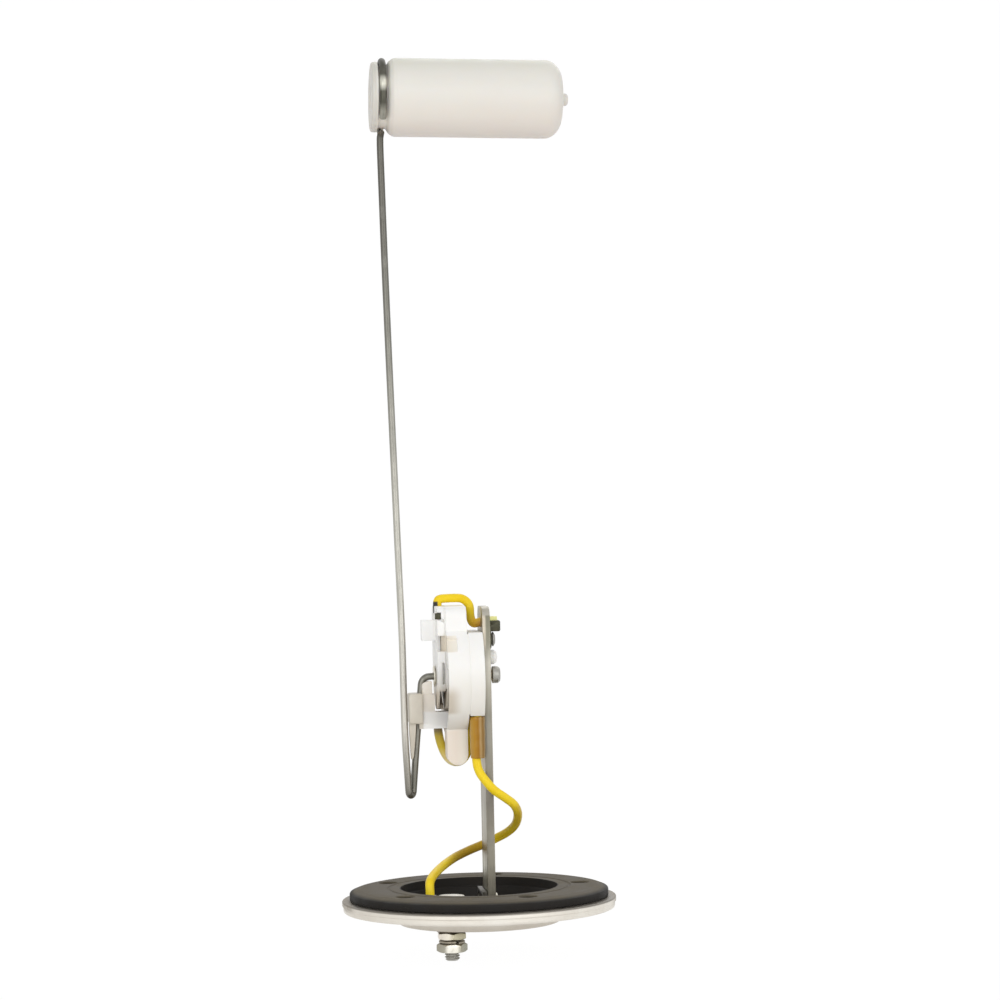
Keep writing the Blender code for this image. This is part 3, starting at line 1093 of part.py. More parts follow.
def signal_lead():
    """From the card out of the housing's front, behind the tongue, through the base's channel
    and the sleeve, then round the stalk to the ring terminal."""
    tag = CARD_LEFT - SEAT_GAP - TAG_THICKNESS - SEAT_GAP
    channel_x = BASE_LEFT + CHANNEL_DEPTH / 2
    barrel = barrel_place()
    barrel_top = (DISH_FLOOR + 2 * SEAT_GAP + BUSH_FLANGE_HEIGHT + RING_THICKNESS
                  + BARREL_HEIGHT + SEAT_GAP)
    sleeve_end = BASE_BOTTOM - SEAT_GAP - SLEEVE_LENGTH
    rise = sleeve_end - barrel_top
    route = [(tag, SIGNAL_HOLE_Y, SIGNAL_HOLE_Z), (BODY_LEFT, SIGNAL_HOLE_Y, SIGNAL_HOLE_Z)]
    route += [(x, y, PIVOT_HEIGHT - below) for x, y, below in LOOP_ROUTE]
    route += [(channel_x, y, PIVOT_HEIGHT - below) for y, below in CHANNEL_ROUTE]
    route += [(SLEEVE_X, SLEEVE_Y, BASE_BOTTOM), (SLEEVE_X, SLEEVE_Y, (BASE_BOTTOM + sleeve_end) / 2),
              (SLEEVE_X, SLEEVE_Y, sleeve_end)]
    route += [(x, y, barrel_top + share * rise) for x, y, share in BEND_ROUTE]
    route += [(barrel.x, barrel.y + LEAD_LEAN, barrel_top + LEAD_LEAN_HEIGHT),
              (barrel.x, barrel.y, barrel_top + LEAD_STAND), (barrel.x, barrel.y, barrel_top)]
    return wire("signal_lead", smooth_route(route, LEAD_STEP), LEAD_RADIUS, YELLOW_PVC)


def lead_sleeve():
    top = BASE_BOTTOM - SEAT_GAP
    bottom = top - SLEEVE_LENGTH
    sleeve = rod("lead_sleeve", SLEEVE_RADIUS, (SLEEVE_X, SLEEVE_Y, bottom),
                 (SLEEVE_X, SLEEVE_Y, top), AMBER_SLEEVE, 24)
    bore(sleeve, LEAD_HOLE, (SLEEVE_X, SLEEVE_Y, bottom), (SLEEVE_X, SLEEVE_Y, top))
    return sleeve


def hang_on_pivot(parts):
    """Parents the moving parts to an empty on the axle, where they turn about X."""
    pivot = bpy.data.objects.new("arm_pivot", None)
    pivot.location = PIVOT
    PARTS.objects.link(pivot)
    bpy.context.view_layer.update()
    for part in parts:
        part.parent = pivot
        part.matrix_parent_inverse = Matrix.Translation(-PIVOT)


def main():
    mounting_plate()
    gasket()
    stud_assembly()
    stalk()
    stalk_bracket()
    sensor_housing()
    sensor_base()
    housing_cover()
    bushes()
    resistor()
    contact_strip()
    earth_terminal()
    earth_lead()
    signal_lead()
    lead_sleeve()
    hang_on_pivot([float_arm(), float_body(), lever(), wiper(), axle_cap()])


main()
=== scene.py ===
"""The looks of the fuel level sender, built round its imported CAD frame.

Metres, in the CAD's own frame: +Z up the stalk, +X along the float arm's axle, -Y in front.
"""
import json
from math import cos, pi, radians, sin, sqrt, tan, tau

import bmesh
import bpy
from mathutils import Matrix, Vector


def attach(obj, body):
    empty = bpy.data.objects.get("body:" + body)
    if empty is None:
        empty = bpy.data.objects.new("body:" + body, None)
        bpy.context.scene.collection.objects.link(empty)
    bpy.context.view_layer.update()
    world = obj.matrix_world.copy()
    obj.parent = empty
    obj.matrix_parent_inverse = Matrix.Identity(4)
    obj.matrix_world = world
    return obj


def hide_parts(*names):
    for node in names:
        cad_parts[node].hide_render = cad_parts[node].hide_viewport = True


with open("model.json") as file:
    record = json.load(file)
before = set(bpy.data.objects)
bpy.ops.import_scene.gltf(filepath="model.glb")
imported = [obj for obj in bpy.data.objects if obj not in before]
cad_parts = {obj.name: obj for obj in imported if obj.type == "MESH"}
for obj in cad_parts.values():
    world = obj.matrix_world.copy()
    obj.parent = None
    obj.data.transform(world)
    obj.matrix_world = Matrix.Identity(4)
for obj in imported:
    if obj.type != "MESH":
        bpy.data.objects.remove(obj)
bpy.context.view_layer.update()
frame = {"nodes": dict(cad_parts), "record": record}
NODES = frame["nodes"]

# Sizes shared with the CAD, in metres
PIVOT = Vector((0.0, 0.0, 0.0648))
DISH_FLOOR = 0.0015
RIM_BOTTOM, RIM_TOP = 0.0034, 0.0064
PLATE_RADIUS = 0.036
BOLT_CIRCLE, BOLT_RADIUS = 0.027, 0.0024
BOLT_PLACES = [(BOLT_CIRCLE * cos(a), BOLT_CIRCLE * sin(a)) for a in (radians(4 + 72 * i) for i in range(5))]
FOOT_RIVET_X, FOOT_RIVETS_Y = -0.00335, (-0.0008, 0.0046)
STUD = Vector((-0.0082, -0.009, 0.0))
ON_STUD = Matrix.Translation(STUD)
STUD_RADIUS = 0.002
ACROSS_FLATS = 0.007
STALK_LEFT, STALK_RIGHT = 0.00175, 0.00375
FLOAT_CENTRE = Vector((0.00127, 0.0, 0.2165))
FLOAT_TILT = radians(1.25)
FLOAT_HALF = 0.0254  # half its length
WIRE_RADIUS = 0.0009
BUSH_BORE = 0.00115
LEAD_RADIUS = 0.00115
RING_RADIUS = 0.00937
RING_INSET = 0.00290  # the ring's plane, from the float's left end
LEG_BOW = ((0.050, 0.0), (0.062, 0.00018), (0.074, 0.00036), (0.098, 0.00022), (0.124, 0.0001),
           (0.150, -0.00003), (0.176, -0.00008), (0.192, -0.00002), (0.206, 0.0))  # the long leg: height, bow


def aim_camera():
    """The photograph's camera: level, a little to the left of front, rolled by 1.25 degrees."""
    azimuth, roll = radians(-6), radians(1.25)
    distance, aside, height = 0.835, 0.00776, 0.1107
    picture_width, sensor_width = 0.263, 36
    right = Vector((cos(azimuth), sin(azimuth), 0))
    back = Vector((sin(azimuth), -cos(azimuth), 0))
    up = Vector((0, 0, 1))
    cam_right = right * cos(roll) - up * sin(roll)
    cam_up = up * cos(roll) + right * sin(roll)
    data = bpy.data.cameras.new("camera")
    data.sensor_width = sensor_width
    data.lens = sensor_width * distance / picture_width
    data.clip_start, data.clip_end = 0.01, 20
    camera = bpy.data.objects.new("camera", data)
    bpy.context.scene.collection.objects.link(camera)
    turn = Matrix((cam_right, cam_up, back)).transposed().to_4x4()
    camera.matrix_world = Matrix.Translation(right * aside + up * height + back * distance) @ turn
    bpy.context.scene.camera = camera


aim_camera()


# Materials


class Finish:
    """A Principled material with its procedural textures, in the piece's own coordinates."""

    def __init__(self, name, colour, roughness, metallic=0.0, **sockets):
        self.material = bpy.data.materials.new(name)
        self.material.use_nodes = True
        self.tree = self.material.node_tree
        self.shader = self.tree.nodes["Principled BSDF"]
        self.set("Base Color", (*colour, 1.0))
        self.set("Roughness", roughness)
        self.set("Metallic", metallic)
        for socket, value in sockets.items():
            self.set(socket.replace("_", " "), value)
        coordinates = self.tree.nodes.new("ShaderNodeTexCoord")
        self.place = coordinates.outputs["Object"]
        self.relief = None

    def set(self, socket, value):
        self.shader.inputs[socket].default_value = value

    def link(self, source, target):
        self.tree.links.new(source, target)

    def node(self, kind, **values):
        made = self.tree.nodes.new(kind)
        for key, value in values.items():
            setattr(made, key, value)
        return made

    def stretched(self, scale):
        """Coordinates scaled by a different amount along each axis."""
        made = self.node("ShaderNodeMapping")
        made.inputs["Scale"].default_value = scale
        self.link(self.place, made.inputs["Vector"])
        return made.outputs["Vector"]

    def noise(self, scale, detail=3.0, rough=0.55, place=None):
        made = self.node("ShaderNodeTexNoise")
        made.inputs["Scale"].default_value = scale
        made.inputs["Detail"].default_value = detail
        made.inputs["Roughness"].default_value = rough
        self.link(place or self.place, made.inputs["Vector"])
        return made.outputs["Fac"]

    def cells(self, scale):
        made = self.node("ShaderNodeTexVoronoi")
        made.inputs["Scale"].default_value = scale
        self.link(self.place, made.inputs["Vector"])
        return made.outputs["Distance"]

    def wave(self, scale, distortion):
        """Bands along Z."""
        made = self.node("ShaderNodeTexWave", bands_direction="Z")
        made.inputs["Scale"].default_value = scale
        made.inputs["Distortion"].default_value = distortion
        self.link(self.place, made.inputs["Vector"])
        return made.outputs["Fac"]

    def distance(self, scale):
        """The length of the coordinates after a scale along each axis."""
        made = self.node("ShaderNodeVectorMath", operation="LENGTH")
        self.link(self.stretched(scale), made.inputs[0])
        return made.outputs["Value"]

    def axis(self, name):
        """One coordinate of the piece, in metres."""
        made = self.node("ShaderNodeSeparateXYZ")
        self.link(self.place, made.inputs["Vector"])
        return made.outputs[name]

    def span(self, value, low, high, to_low=0.0, to_high=1.0, smooth=True):
        """Maps a value's range from low to high onto another."""
        made = self.node("ShaderNodeMapRange", interpolation_type="SMOOTHSTEP" if smooth else "LINEAR")
        limits = {"From Min": low, "From Max": high, "To Min": to_low, "To Max": to_high}
        for socket, number in limits.items():
            made.inputs[socket].default_value = number
        self.link(value, made.inputs["Value"])
        return made.outputs["Result"]

    def above(self, name, low, high):
        """0 where a coordinate is under low, 1 where it is over high."""
        return self.span(self.axis(name), low, high)

    def below(self, name, low, high):
        return self.span(self.axis(name), low, high, 1.0, 0.0)

    def uneven(self, name, noise, amount, middle=0.0):
        """A coordinate with a little noise added."""
        return self.math("ADD", self.axis(name), self.times(self.math("SUBTRACT", noise, middle), amount))

    def math(self, operation, one, two):
        made = self.node("ShaderNodeMath", operation=operation)
        for socket, value in zip(made.inputs, (one, two)):
            if isinstance(value, (int, float)):
                socket.default_value = value
            else:
                self.link(value, socket)
        return made.outputs["Value"]

    def times(self, first, *others):
        for other in others:
            first = self.math("MULTIPLY", first, other)
        return first

    def ramp(self, value, stops):
        """Colours along a value: (position, red, green, blue) stops."""
        made = self.node("ShaderNodeValToRGB")
        elements = made.color_ramp.elements
        while len(elements) < len(stops):
            elements.new(0.5)
        for element, (position, *colour) in zip(elements, stops):
            element.position = position
            element.color = (*colour, 1.0)
        self.link(value, made.inputs["Fac"])
        return made.outputs["Color"]

    def along(self, value, low, high, stops):
        """Colours from one number to another of a value."""
        return self.ramp(self.span(value, low, high, smooth=False), stops)

    def mix(self, factor, one, two):
        """One colour over another."""
        made = self.node("ShaderNodeMix", data_type="RGBA")
        if isinstance(factor, (int, float)):
            made.inputs["Factor"].default_value = factor
        else:
            self.link(factor, made.inputs["Factor"])
        for socket, colour in ((made.inputs["A"], one), (made.inputs["B"], two)):
            if isinstance(colour, tuple):
                socket.default_value = (*colour, 1.0)
            else:
                self.link(colour, socket)
        return made.outputs["Result"]

    def colour(self, source):
        self.link(source, self.shader.inputs["Base Color"])

    def roughness(self, source, low, high):
        self.link(self.span(source, 0.25, 0.75, low, high), self.shader.inputs["Roughness"])

    def bump(self, height, strength, depth):
        """Adds a relief of some depth, in metres, on top of those already there."""
        made = self.node("ShaderNodeBump")
        made.inputs["Strength"].default_value = strength
        made.inputs["Distance"].default_value = depth
        self.link(height, made.inputs["Height"])
        if self.relief is not None:
            self.link(self.relief, made.inputs["Normal"])
        self.relief = made.outputs["Normal"]
        self.link(self.relief, self.shader.inputs["Normal"])


def cast_metal():
    """Cast plate under a warm pale coating, with painted shade along the dish's lower edge, a painted shadow
    on the rim's top beside the gasket, and darker at the rim's left and right ends.
    """
    f = Finish("cast_metal", (0.78, 0.74, 0.67), 0.42, 0.55)
    cloudy = f.noise(90, 4)
    base = f.ramp(cloudy, [
        (0.3, 0.71, 0.665, 0.59), (0.55, 0.78, 0.74, 0.665), (0.8, 0.83, 0.80, 0.735)])
    # painted shade: the dish's lower edge is darkened for the shade under the plate
    low = f.below("Z", 0.0003, 0.0030)
    base = f.mix(f.times(low, 0.6), base, (0.48, 0.43, 0.36))
    reach = f.distance((1, 1, 0))
    # painted shadow: the rim's top next to the gasket is painted near black for the shadow under the gasket
    gasket_shadow = f.times(f.above("Z", 0.0058, 0.0062), f.span(reach, 0.0334, 0.0338))
    base = f.mix(f.times(gasket_shadow, 0.85), base, (0.10, 0.085, 0.065))
    ends = f.times(f.span(f.distance((1, 0, 0)), 0.0330, 0.0352), f.above("Z", 0.0036, 0.0056))
    base = f.mix(f.times(ends, f.span(f.noise(260, 3), 0.3, 0.7, 0.5, 0.85)), base, (0.22, 0.18, 0.13))
    pits = f.span(f.cells(700), 0.0, 0.16, 1.0, 0.0)
    f.colour(f.mix(f.times(pits, 0.2), base, (0.46, 0.43, 0.38)))
    f.roughness(f.noise(420, 3), 0.36, 0.5)
    f.bump(f.noise(1500, 3), 0.25, 0.00005)
    f.bump(cloudy, 0.15, 0.0002)
    return f.material


def rubber():
    """Near black rubber, its flat top painted olive brown for dust together with the painted sheen of the
    light it catches.
    """
    f = Finish("rubber", (0.010, 0.008, 0.006), 0.72, Specular_IOR_Level=0.3)
    dust = f.noise(160, 5, 0.6)
    clean = f.ramp(dust, [(0.3, 0.005, 0.004, 0.003), (0.8, 0.016, 0.013, 0.010)])
    # dust and painted sheen: the top is lighter for the light that falls on it, mottled by dust
    dust_and_sheen = f.ramp(dust, [
        (0.3, 0.070, 0.058, 0.040), (0.6, 0.115, 0.098, 0.068), (0.85, 0.17, 0.148, 0.11)])
    top = f.above("Z", 0.0085, 0.0091)
    outside = f.span(f.distance((1, 1, 0)), 0.0206, 0.0211)
    f.colour(f.mix(f.times(top, outside), clean, dust_and_sheen))
    f.roughness(dust, 0.6, 0.8)
    f.bump(f.noise(2600, 2), 0.3, 0.00005)
    f.bump(f.noise(500, 3), 0.25, 0.00012)
    return f.material


def zinc_steel():
    """Rolled strip with a dull zinc coat, streaked along its length, with painted light and shade along its
    height and a painted highlight on its upper front.
    """
    f = Finish("zinc_steel", (0.38, 0.355, 0.30), 0.42, 1.0)
    streaks = f.noise(60, 4, 0.6, place=f.stretched((14, 14, 1)))
    cloudy = f.noise(140, 4)
    base = f.ramp(cloudy, [
        (0.28, 0.30, 0.275, 0.225), (0.52, 0.39, 0.365, 0.305), (0.8, 0.48, 0.455, 0.395)])
    edge = f.below("Y", -0.0069, -0.0066)
    foot, tip = 0.006, 0.084
    # painted light and shade along the height of the side, with the lead's shadow
    side = f.along(f.axis("Z"), foot, tip, [
        (0.0, 0.30, 0.28, 0.20), (0.10, 0.52, 0.50, 0.39), (0.167, 0.24, 0.19, 0.10),
        (0.27, 0.30, 0.28, 0.21), (0.34, 0.26, 0.235, 0.18), (0.46, 0.42, 0.37, 0.27),
        (0.6, 0.50, 0.48, 0.42)])
    # painted light and shade along the height of the front edge, darkest towards the top
    front = f.along(f.axis("Z"), foot, tip, [
        (0.0, 0.42, 0.39, 0.31), (0.12, 0.50, 0.47, 0.38), (0.2, 0.27, 0.25, 0.20),
        (0.33, 0.14, 0.125, 0.11), (0.42, 0.24, 0.225, 0.19), (0.62, 0.25, 0.24, 0.20),
        (0.69, 0.40, 0.38, 0.32), (0.80, 0.50, 0.48, 0.42), (0.86, 0.20, 0.195, 0.15),
        (0.93, 0.17, 0.168, 0.12), (1.0, 0.10, 0.10, 0.055)])
    # painted highlight on the upper part of the front, towards its left
    lit = f.times(f.below("X", 0.0023, 0.0028), f.above("Z", 0.070, 0.074))
    front = f.mix(f.times(lit, 0.8), front, (0.74, 0.66, 0.54))
    base = f.mix(0.7, base, f.mix(edge, side, front))
    f.colour(f.mix(f.span(streaks, 0.45, 0.7, 0.0, 0.3), base, (0.15, 0.14, 0.11)))
    f.roughness(streaks, 0.34, 0.5)
    f.bump(streaks, 0.2, 0.00005)
    f.bump(f.noise(2400, 2), 0.15, 0.00003)
    return f.material


def wire_steel():
    """Drawn wire of dull zinc, with painted reflections: darker towards the float, at the hairpin and in the
    axle, and dark with a bright highlight on the ring.
    """
    f = Finish("wire_steel", (0.44, 0.43, 0.38), 0.45, 1.0)
    drawn = f.noise(50, 3, 0.5, place=f.stretched((26, 26, 1)))
    cloudy = f.noise(210, 4)
    height = f.uneven("Z", f.noise(40, 3), 0.008)
    # painted reflections: light and dark along the long leg's height
    leg_reflections = f.along(height, 0.034, 0.234, [
        (0.0, 0.11, 0.105, 0.085), (0.05, 0.30, 0.285, 0.25), (0.11, 0.52, 0.50, 0.45),
        (0.30, 0.50, 0.49, 0.44), (0.44, 0.38, 0.37, 0.33), (0.60, 0.22, 0.215, 0.19),
        (0.76, 0.14, 0.135, 0.12), (1.0, 0.10, 0.095, 0.08)])
    # painted dark reflection on the hairpin's inner leg and the axle
    inner = f.times(f.above("Y", -0.0014, -0.0007), f.below("Z", 0.074, 0.084))
    base = f.mix(f.times(inner, 0.9), leg_reflections, (0.17, 0.165, 0.14))
    # painted reflections on the ring: dark bands round a bright painted highlight
    ring = f.along(f.axis("Z"), 0.2060, 0.2270, [
        (0.0, 0.30, 0.29, 0.25), (0.30, 0.34, 0.33, 0.28), (0.40, 0.09, 0.088, 0.07),
        (0.54, 0.09, 0.088, 0.07), (0.63, 0.72, 0.71, 0.62), (0.68, 0.72, 0.71, 0.62),
        (0.76, 0.09, 0.088, 0.07), (1.0, 0.07, 0.068, 0.055)])
    base = f.mix(f.above("Z", 0.2068, 0.2078), base, ring)
    base = f.mix(f.span(drawn, 0.45, 0.72, 0.0, 0.3), base, (0.10, 0.095, 0.08))
    f.colour(f.mix(f.span(cloudy, 0.5, 0.8, 0.0, 0.2), base, (0.60, 0.59, 0.54)))
    f.roughness(cloudy, 0.36, 0.52)
    f.bump(drawn, 0.15, 0.00003)
    return f.material


def bright_steel():
    f = Finish("bright_steel", (0.72, 0.70, 0.61), 0.3, 1.0)
    cloudy = f.noise(330, 4)
    f.colour(f.ramp(cloudy, [
        (0.3, 0.60, 0.565, 0.47), (0.55, 0.74, 0.71, 0.62), (0.85, 0.80, 0.79, 0.74)]))
    f.roughness(f.noise(800, 3), 0.22, 0.38)
    f.bump(f.noise(3000, 2), 0.15, 0.00003)
    return f.material


def plated_steel(name, stops):
    """Bright plating with olive patches, its tones across a part on the stud painting the light on its front
    faces and the shade on its side faces.
    """
    f = Finish(name, stops[len(stops) // 2][1:], 0.32, 1.0)
    uneven = f.uneven("X", f.noise(420, 3), 0.0008)
    half = ACROSS_FLATS / sqrt(3)
    # painted light and shade: the stops across the part stand for its lit and shaded faces
    base = f.along(uneven, STUD.x - half, STUD.x + half, stops)
    f.colour(f.mix(f.span(f.noise(900, 4), 0.5, 0.8, 0.0, 0.3), base, (0.36, 0.33, 0.25)))
    f.roughness(f.noise(800, 3), 0.26, 0.42)
    f.bump(f.noise(3000, 2), 0.15, 0.00003)
    return f.material


def clouded(name, colour, roughness, scale, stops, rough, grain=2400, strength=0.2):
    """A metal of cloudy tone with a fine grain."""
    f = Finish(name, colour, roughness, 1.0)
    cloudy = f.noise(scale, 4)
    f.colour(f.ramp(cloudy, stops))
    f.roughness(cloudy, *rough)
    f.bump(f.noise(grain, 2), strength, 0.00003)
    return f.material


def dull_steel(name, dark, light):
    """Steel gone dull, between two tones."""
    return clouded(name, light, 0.45, 520, [(0.3, *dark), (0.72, *light)], (0.36, 0.54))


def fibre():
    """Pressed fibre, its hairs lying across the stud."""
    f = Finish("fibre", (0.16, 0.13, 0.10), 0.8)
    hairs = f.noise(1200, 4, 0.6, place=f.stretched((1, 3, 6)))
    f.colour(f.ramp(hairs, [
        (0.3, 0.10, 0.08, 0.06), (0.6, 0.17, 0.14, 0.105), (0.85, 0.26, 0.22, 0.17)]))
    f.roughness(hairs, 0.7, 0.9)
    f.bump(hairs, 0.35, 0.00004)
    return f.material


def white_plastic():
    """Warm white moulding with painted shade: darker towards the bottom, a tan band below the axle, shading
    in a recess and on the tongue; the lug is painted whiter against its shade.
    """
    f = Finish("white_plastic", (0.91, 0.90, 0.87), 0.44, Subsurface_Weight=0.1,
               Subsurface_Radius=(0.0012, 0.001, 0.0007))
    cloudy = f.noise(70, 4)
    clean = f.ramp(cloudy, [(0.3, 0.895, 0.885, 0.855), (0.7, 0.93, 0.925, 0.905)])
    height = f.uneven("Z", f.noise(120, 3), 0.0016, 0.5)
    across = f.axis("X")
    # painted shade: darker and warmer towards the bottom, where the round housing turns down from the light
    warm = f.times(f.span(height, 0.0600, 0.0700, 1.0, 0.0), 0.5)
    base = f.mix(warm, clean, (0.80, 0.76, 0.67))
    # painted shade: a tan band below the axle, on the left, where the round part faces down
    band = f.times(f.span(height, 0.0550, 0.0562), f.span(height, 0.0600, 0.0635, 1.0, 0.0))
    left = f.span(across, -0.0075, -0.0040, 1.0, 0.0)
    base = f.mix(f.times(band, left, 0.75), base, (0.56, 0.48, 0.37))
    # painted light: the lug is painted whiter to offset its shade
    base = f.mix(f.span(across, -0.0109, -0.0106, 1.0, 0.0), base, (0.97, 0.965, 0.95))
    recess = f.times(f.above("Z", 0.0714, 0.0718), f.below("Z", 0.0755, 0.0759),
                     f.below("X", -0.0056, -0.0053), f.below("Y", -0.0074, -0.0070))
    shade = f.along(across, -0.0100, -0.0055, [
        (0.0, 0.50, 0.45, 0.38), (0.2, 0.62, 0.56, 0.47), (0.45, 0.80, 0.74, 0.63),
        (1.0, 0.88, 0.84, 0.76)])
    base = f.mix(recess, base, shade)
    # painted shade on the tongue, set back under the round part: darker and pinker on its left, paler on its
    # right
    tongue = f.span(height, 0.0505, 0.0515, 1.0, 0.0)
    pink = f.mix(f.span(across, -0.0060, -0.0035), (0.84, 0.75, 0.65), (0.95, 0.91, 0.82))
    f.colour(f.mix(f.times(tongue, 0.9), base, pink))
    f.roughness(f.noise(300, 3), 0.38, 0.52)
    f.bump(f.noise(1900, 2), 0.12, 0.00003)
    f.bump(cloudy, 0.08, 0.00015)
    return f.material


def beige_plastic():
    """The lever: one beige grey plastic, its cheek and crossbar painted paler and near white for the light
    that falls on them.
    """
    f = Finish("beige_plastic", (0.62, 0.58, 0.50), 0.45, Subsurface_Weight=0.08,
               Subsurface_Radius=(0.001, 0.0008, 0.0006))
    cloudy = f.noise(190, 4)
    block = f.ramp(cloudy, [(0.3, 0.60, 0.55, 0.46), (0.7, 0.70, 0.65, 0.56)])
    # painted light: the cheek and the crossbar are painted paler than the block's own beige
    cheek = f.ramp(cloudy, [(0.3, 0.84, 0.79, 0.71), (0.7, 0.90, 0.85, 0.78)])
    bar = f.ramp(cloudy, [(0.3, 0.95, 0.94, 0.91), (0.7, 0.97, 0.965, 0.94)])
    right = f.mix(f.above("Z", 0.0553, 0.0560), bar, cheek)
    f.colour(f.mix(f.above("X", -0.0141, -0.0136), block, right))
    f.roughness(f.noise(500, 3), 0.38, 0.52)
    f.bump(f.noise(1700, 2), 0.15, 0.00003)
    return f.material


def float_plastic():
    """Waxy off-white, with painted light and shade in bands along its height, a little olive above and pinker
    below, and darker at its left rim.
    """
    f = Finish("float_plastic", (0.80, 0.775, 0.72), 0.42, Subsurface_Weight=0.25,
               Subsurface_Radius=(0.003, 0.0022, 0.0014))
    mottle = f.noise(90, 4, 0.5)
    height = f.uneven("Z", f.noise(30, 2), 0.002, 0.5)
    # painted light and shade: bands along the round float's height, darkest at the top
    bands = f.along(height, 0.2060, 0.2270, [
        (0.0, 0.78, 0.71, 0.65), (0.25, 0.78, 0.735, 0.67), (0.55, 0.765, 0.745, 0.695),
        (0.75, 0.75, 0.73, 0.675), (1.0, 0.70, 0.695, 0.61)])
    rim = f.span(f.axis("X"), -0.0232, -0.0226, 0.5, 0.0)
    bands = f.mix(rim, bands, (0.52, 0.50, 0.45))
    f.colour(f.mix(f.span(mottle, 0.35, 0.75, 0.0, 0.12), bands, (0.83, 0.81, 0.765)))
    f.roughness(f.noise(260, 3), 0.36, 0.48)
    f.bump(f.noise(1500, 2), 0.06, 0.00003)
    return f.material


def brass():
    return clouded("brass", (0.72, 0.52, 0.22), 0.34, 300, [
        (0.3, 0.55, 0.38, 0.15), (0.7, 0.76, 0.57, 0.27)], (0.26, 0.44), 2000, 0.15)


def card():
    f = Finish("card", (0.30, 0.16, 0.07), 0.6)
    weave = f.noise(1400, 3, place=f.stretched((1, 4, 1)))
    f.colour(f.ramp(weave, [(0.3, 0.22, 0.11, 0.045), (0.7, 0.36, 0.20, 0.09)]))
    f.roughness(weave, 0.5, 0.7)
    f.bump(weave, 0.2, 0.00003)
    return f.material


def resistance_wire():
    f = Finish("resistance_wire", (0.45, 0.36, 0.28), 0.4, 1.0)
    turns = f.wave(900, 0.4)
    f.colour(f.ramp(turns, [(0.2, 0.16, 0.12, 0.09), (0.6, 0.52, 0.42, 0.33)]))
    f.roughness(f.noise(300, 2), 0.3, 0.5)
    f.bump(turns, 0.6, 0.00006)
    return f.material


def yellow_pvc(name, tinted):
    """Smooth insulation, faintly grimy; tinted lays other colours over stretches of it."""
    f = Finish(name, (0.90, 0.64, 0.02), 0.42, Specular_IOR_Level=0.25,
               Subsurface_Weight=0.06, Subsurface_Radius=(0.001, 0.0006, 0.0002))
    grime = f.noise(240, 5, 0.65)
    base = f.ramp(f.noise(110, 4), [(0.3, 0.88, 0.60, 0.004), (0.7, 0.95, 0.74, 0.03)])
    base = f.mix(f.span(grime, 0.55, 0.8, 0.0, 0.3), base, (0.60, 0.38, 0.03))
    f.colour(tinted(f, base))
    f.roughness(grime, 0.32, 0.48)
    f.bump(f.noise(900, 3), 0.12, 0.00004)
    return f.material


def limed(f, base):
    """The earth lead: painted shade in orange brown where it runs down beside the stalk, a painted shadow
    where it bends into the cover, and a pale lime end beyond the stalk.
    """
    # painted shade: orange brown where the lead lies in shade between the housing and the stalk
    orange = f.times(f.below("Z", 0.0780, 0.0815), f.above("X", -0.0030, -0.0012))
    base = f.mix(orange, base, f.along(f.axis("X"), -0.0020, 0.0020, [
        (0.0, 0.97, 0.66, 0.04), (0.6, 0.97, 0.55, 0.04), (1.0, 0.75, 0.38, 0.08)]))
    # painted shadow: near black where the lead bends down into the cover
    root = f.times(f.below("Z", 0.0841, 0.0846), f.below("X", -0.0094, -0.0089))
    base = f.mix(root, base, (0.04, 0.035, 0.03))
    return f.mix(f.above("X", 0.0022, 0.0034), base, (0.98, 0.97, 0.40))


def signal_shading(f, base):
    """The signal lead's painted shade: its loop brown where it leaves the housing, olive and then pale round
    the bend, and brown behind the stalk and at its far turn.
    """
    # painted shade on the loop under the housing: near black at its top, olive lower down, paler at the
    # bottom of the bend
    loop = f.along(f.axis("Z"), 0.0400, 0.0530, [
        (0.0, 0.90, 0.82, 0.54), (0.22, 0.82, 0.66, 0.28), (0.45, 0.66, 0.50, 0.04),
        (0.68, 0.56, 0.43, 0.06), (0.8, 0.26, 0.20, 0.10), (1.0, 0.12, 0.10, 0.06)])
    there = f.times(f.below("X", -0.0050, -0.0030), f.above("Z", 0.036, 0.039))
    base = f.mix(there, base, loop)
    low = f.below("Z", 0.0300, 0.0320)
    # painted shade: brown where the lead runs low behind the stalk
    behind_stalk_shade = f.times(f.above("X", -0.0095, -0.0040), f.below("X", 0.0020, 0.0040))
    base = f.mix(f.times(behind_stalk_shade, low, 0.75), base, (0.36, 0.20, 0.025))
    # painted shade at the lead's far right turn
    turn = f.times(f.above("X", 0.0085, 0.0110), low)
    return f.mix(f.times(turn, 0.5), base, (0.38, 0.24, 0.02))


def amber_sleeve():
    """Translucent amber tubing, with painted light along its left side, a painted highlight streak and
    painted shade in olive along its right.
    """
    f = Finish("amber_sleeve", (0.30, 0.15, 0.02), 0.36, Specular_IOR_Level=0.3,
               Subsurface_Weight=0.1, Subsurface_Radius=(0.0012, 0.0006, 0.0002))
    cloudy = f.noise(160, 4, place=f.stretched((1, 1, 0.35)))
    uneven = f.uneven("X", cloudy, 0.0008, 0.5)
    # painted light and shade across the sleeve, with a painted highlight streak right of the middle
    base = f.along(uneven, -0.0024, 0.0017, [
        (0.0, 0.50, 0.31, 0.07), (0.25, 0.44, 0.22, 0.012), (0.5, 0.34, 0.155, 0.006),
        (0.64, 0.44, 0.29, 0.12), (0.78, 0.26, 0.135, 0.02), (1.0, 0.33, 0.22, 0.08)])
    f.colour(base)
    f.roughness(cloudy, 0.28, 0.42)
    f.bump(cloudy, 0.25, 0.00015)
    return f.material


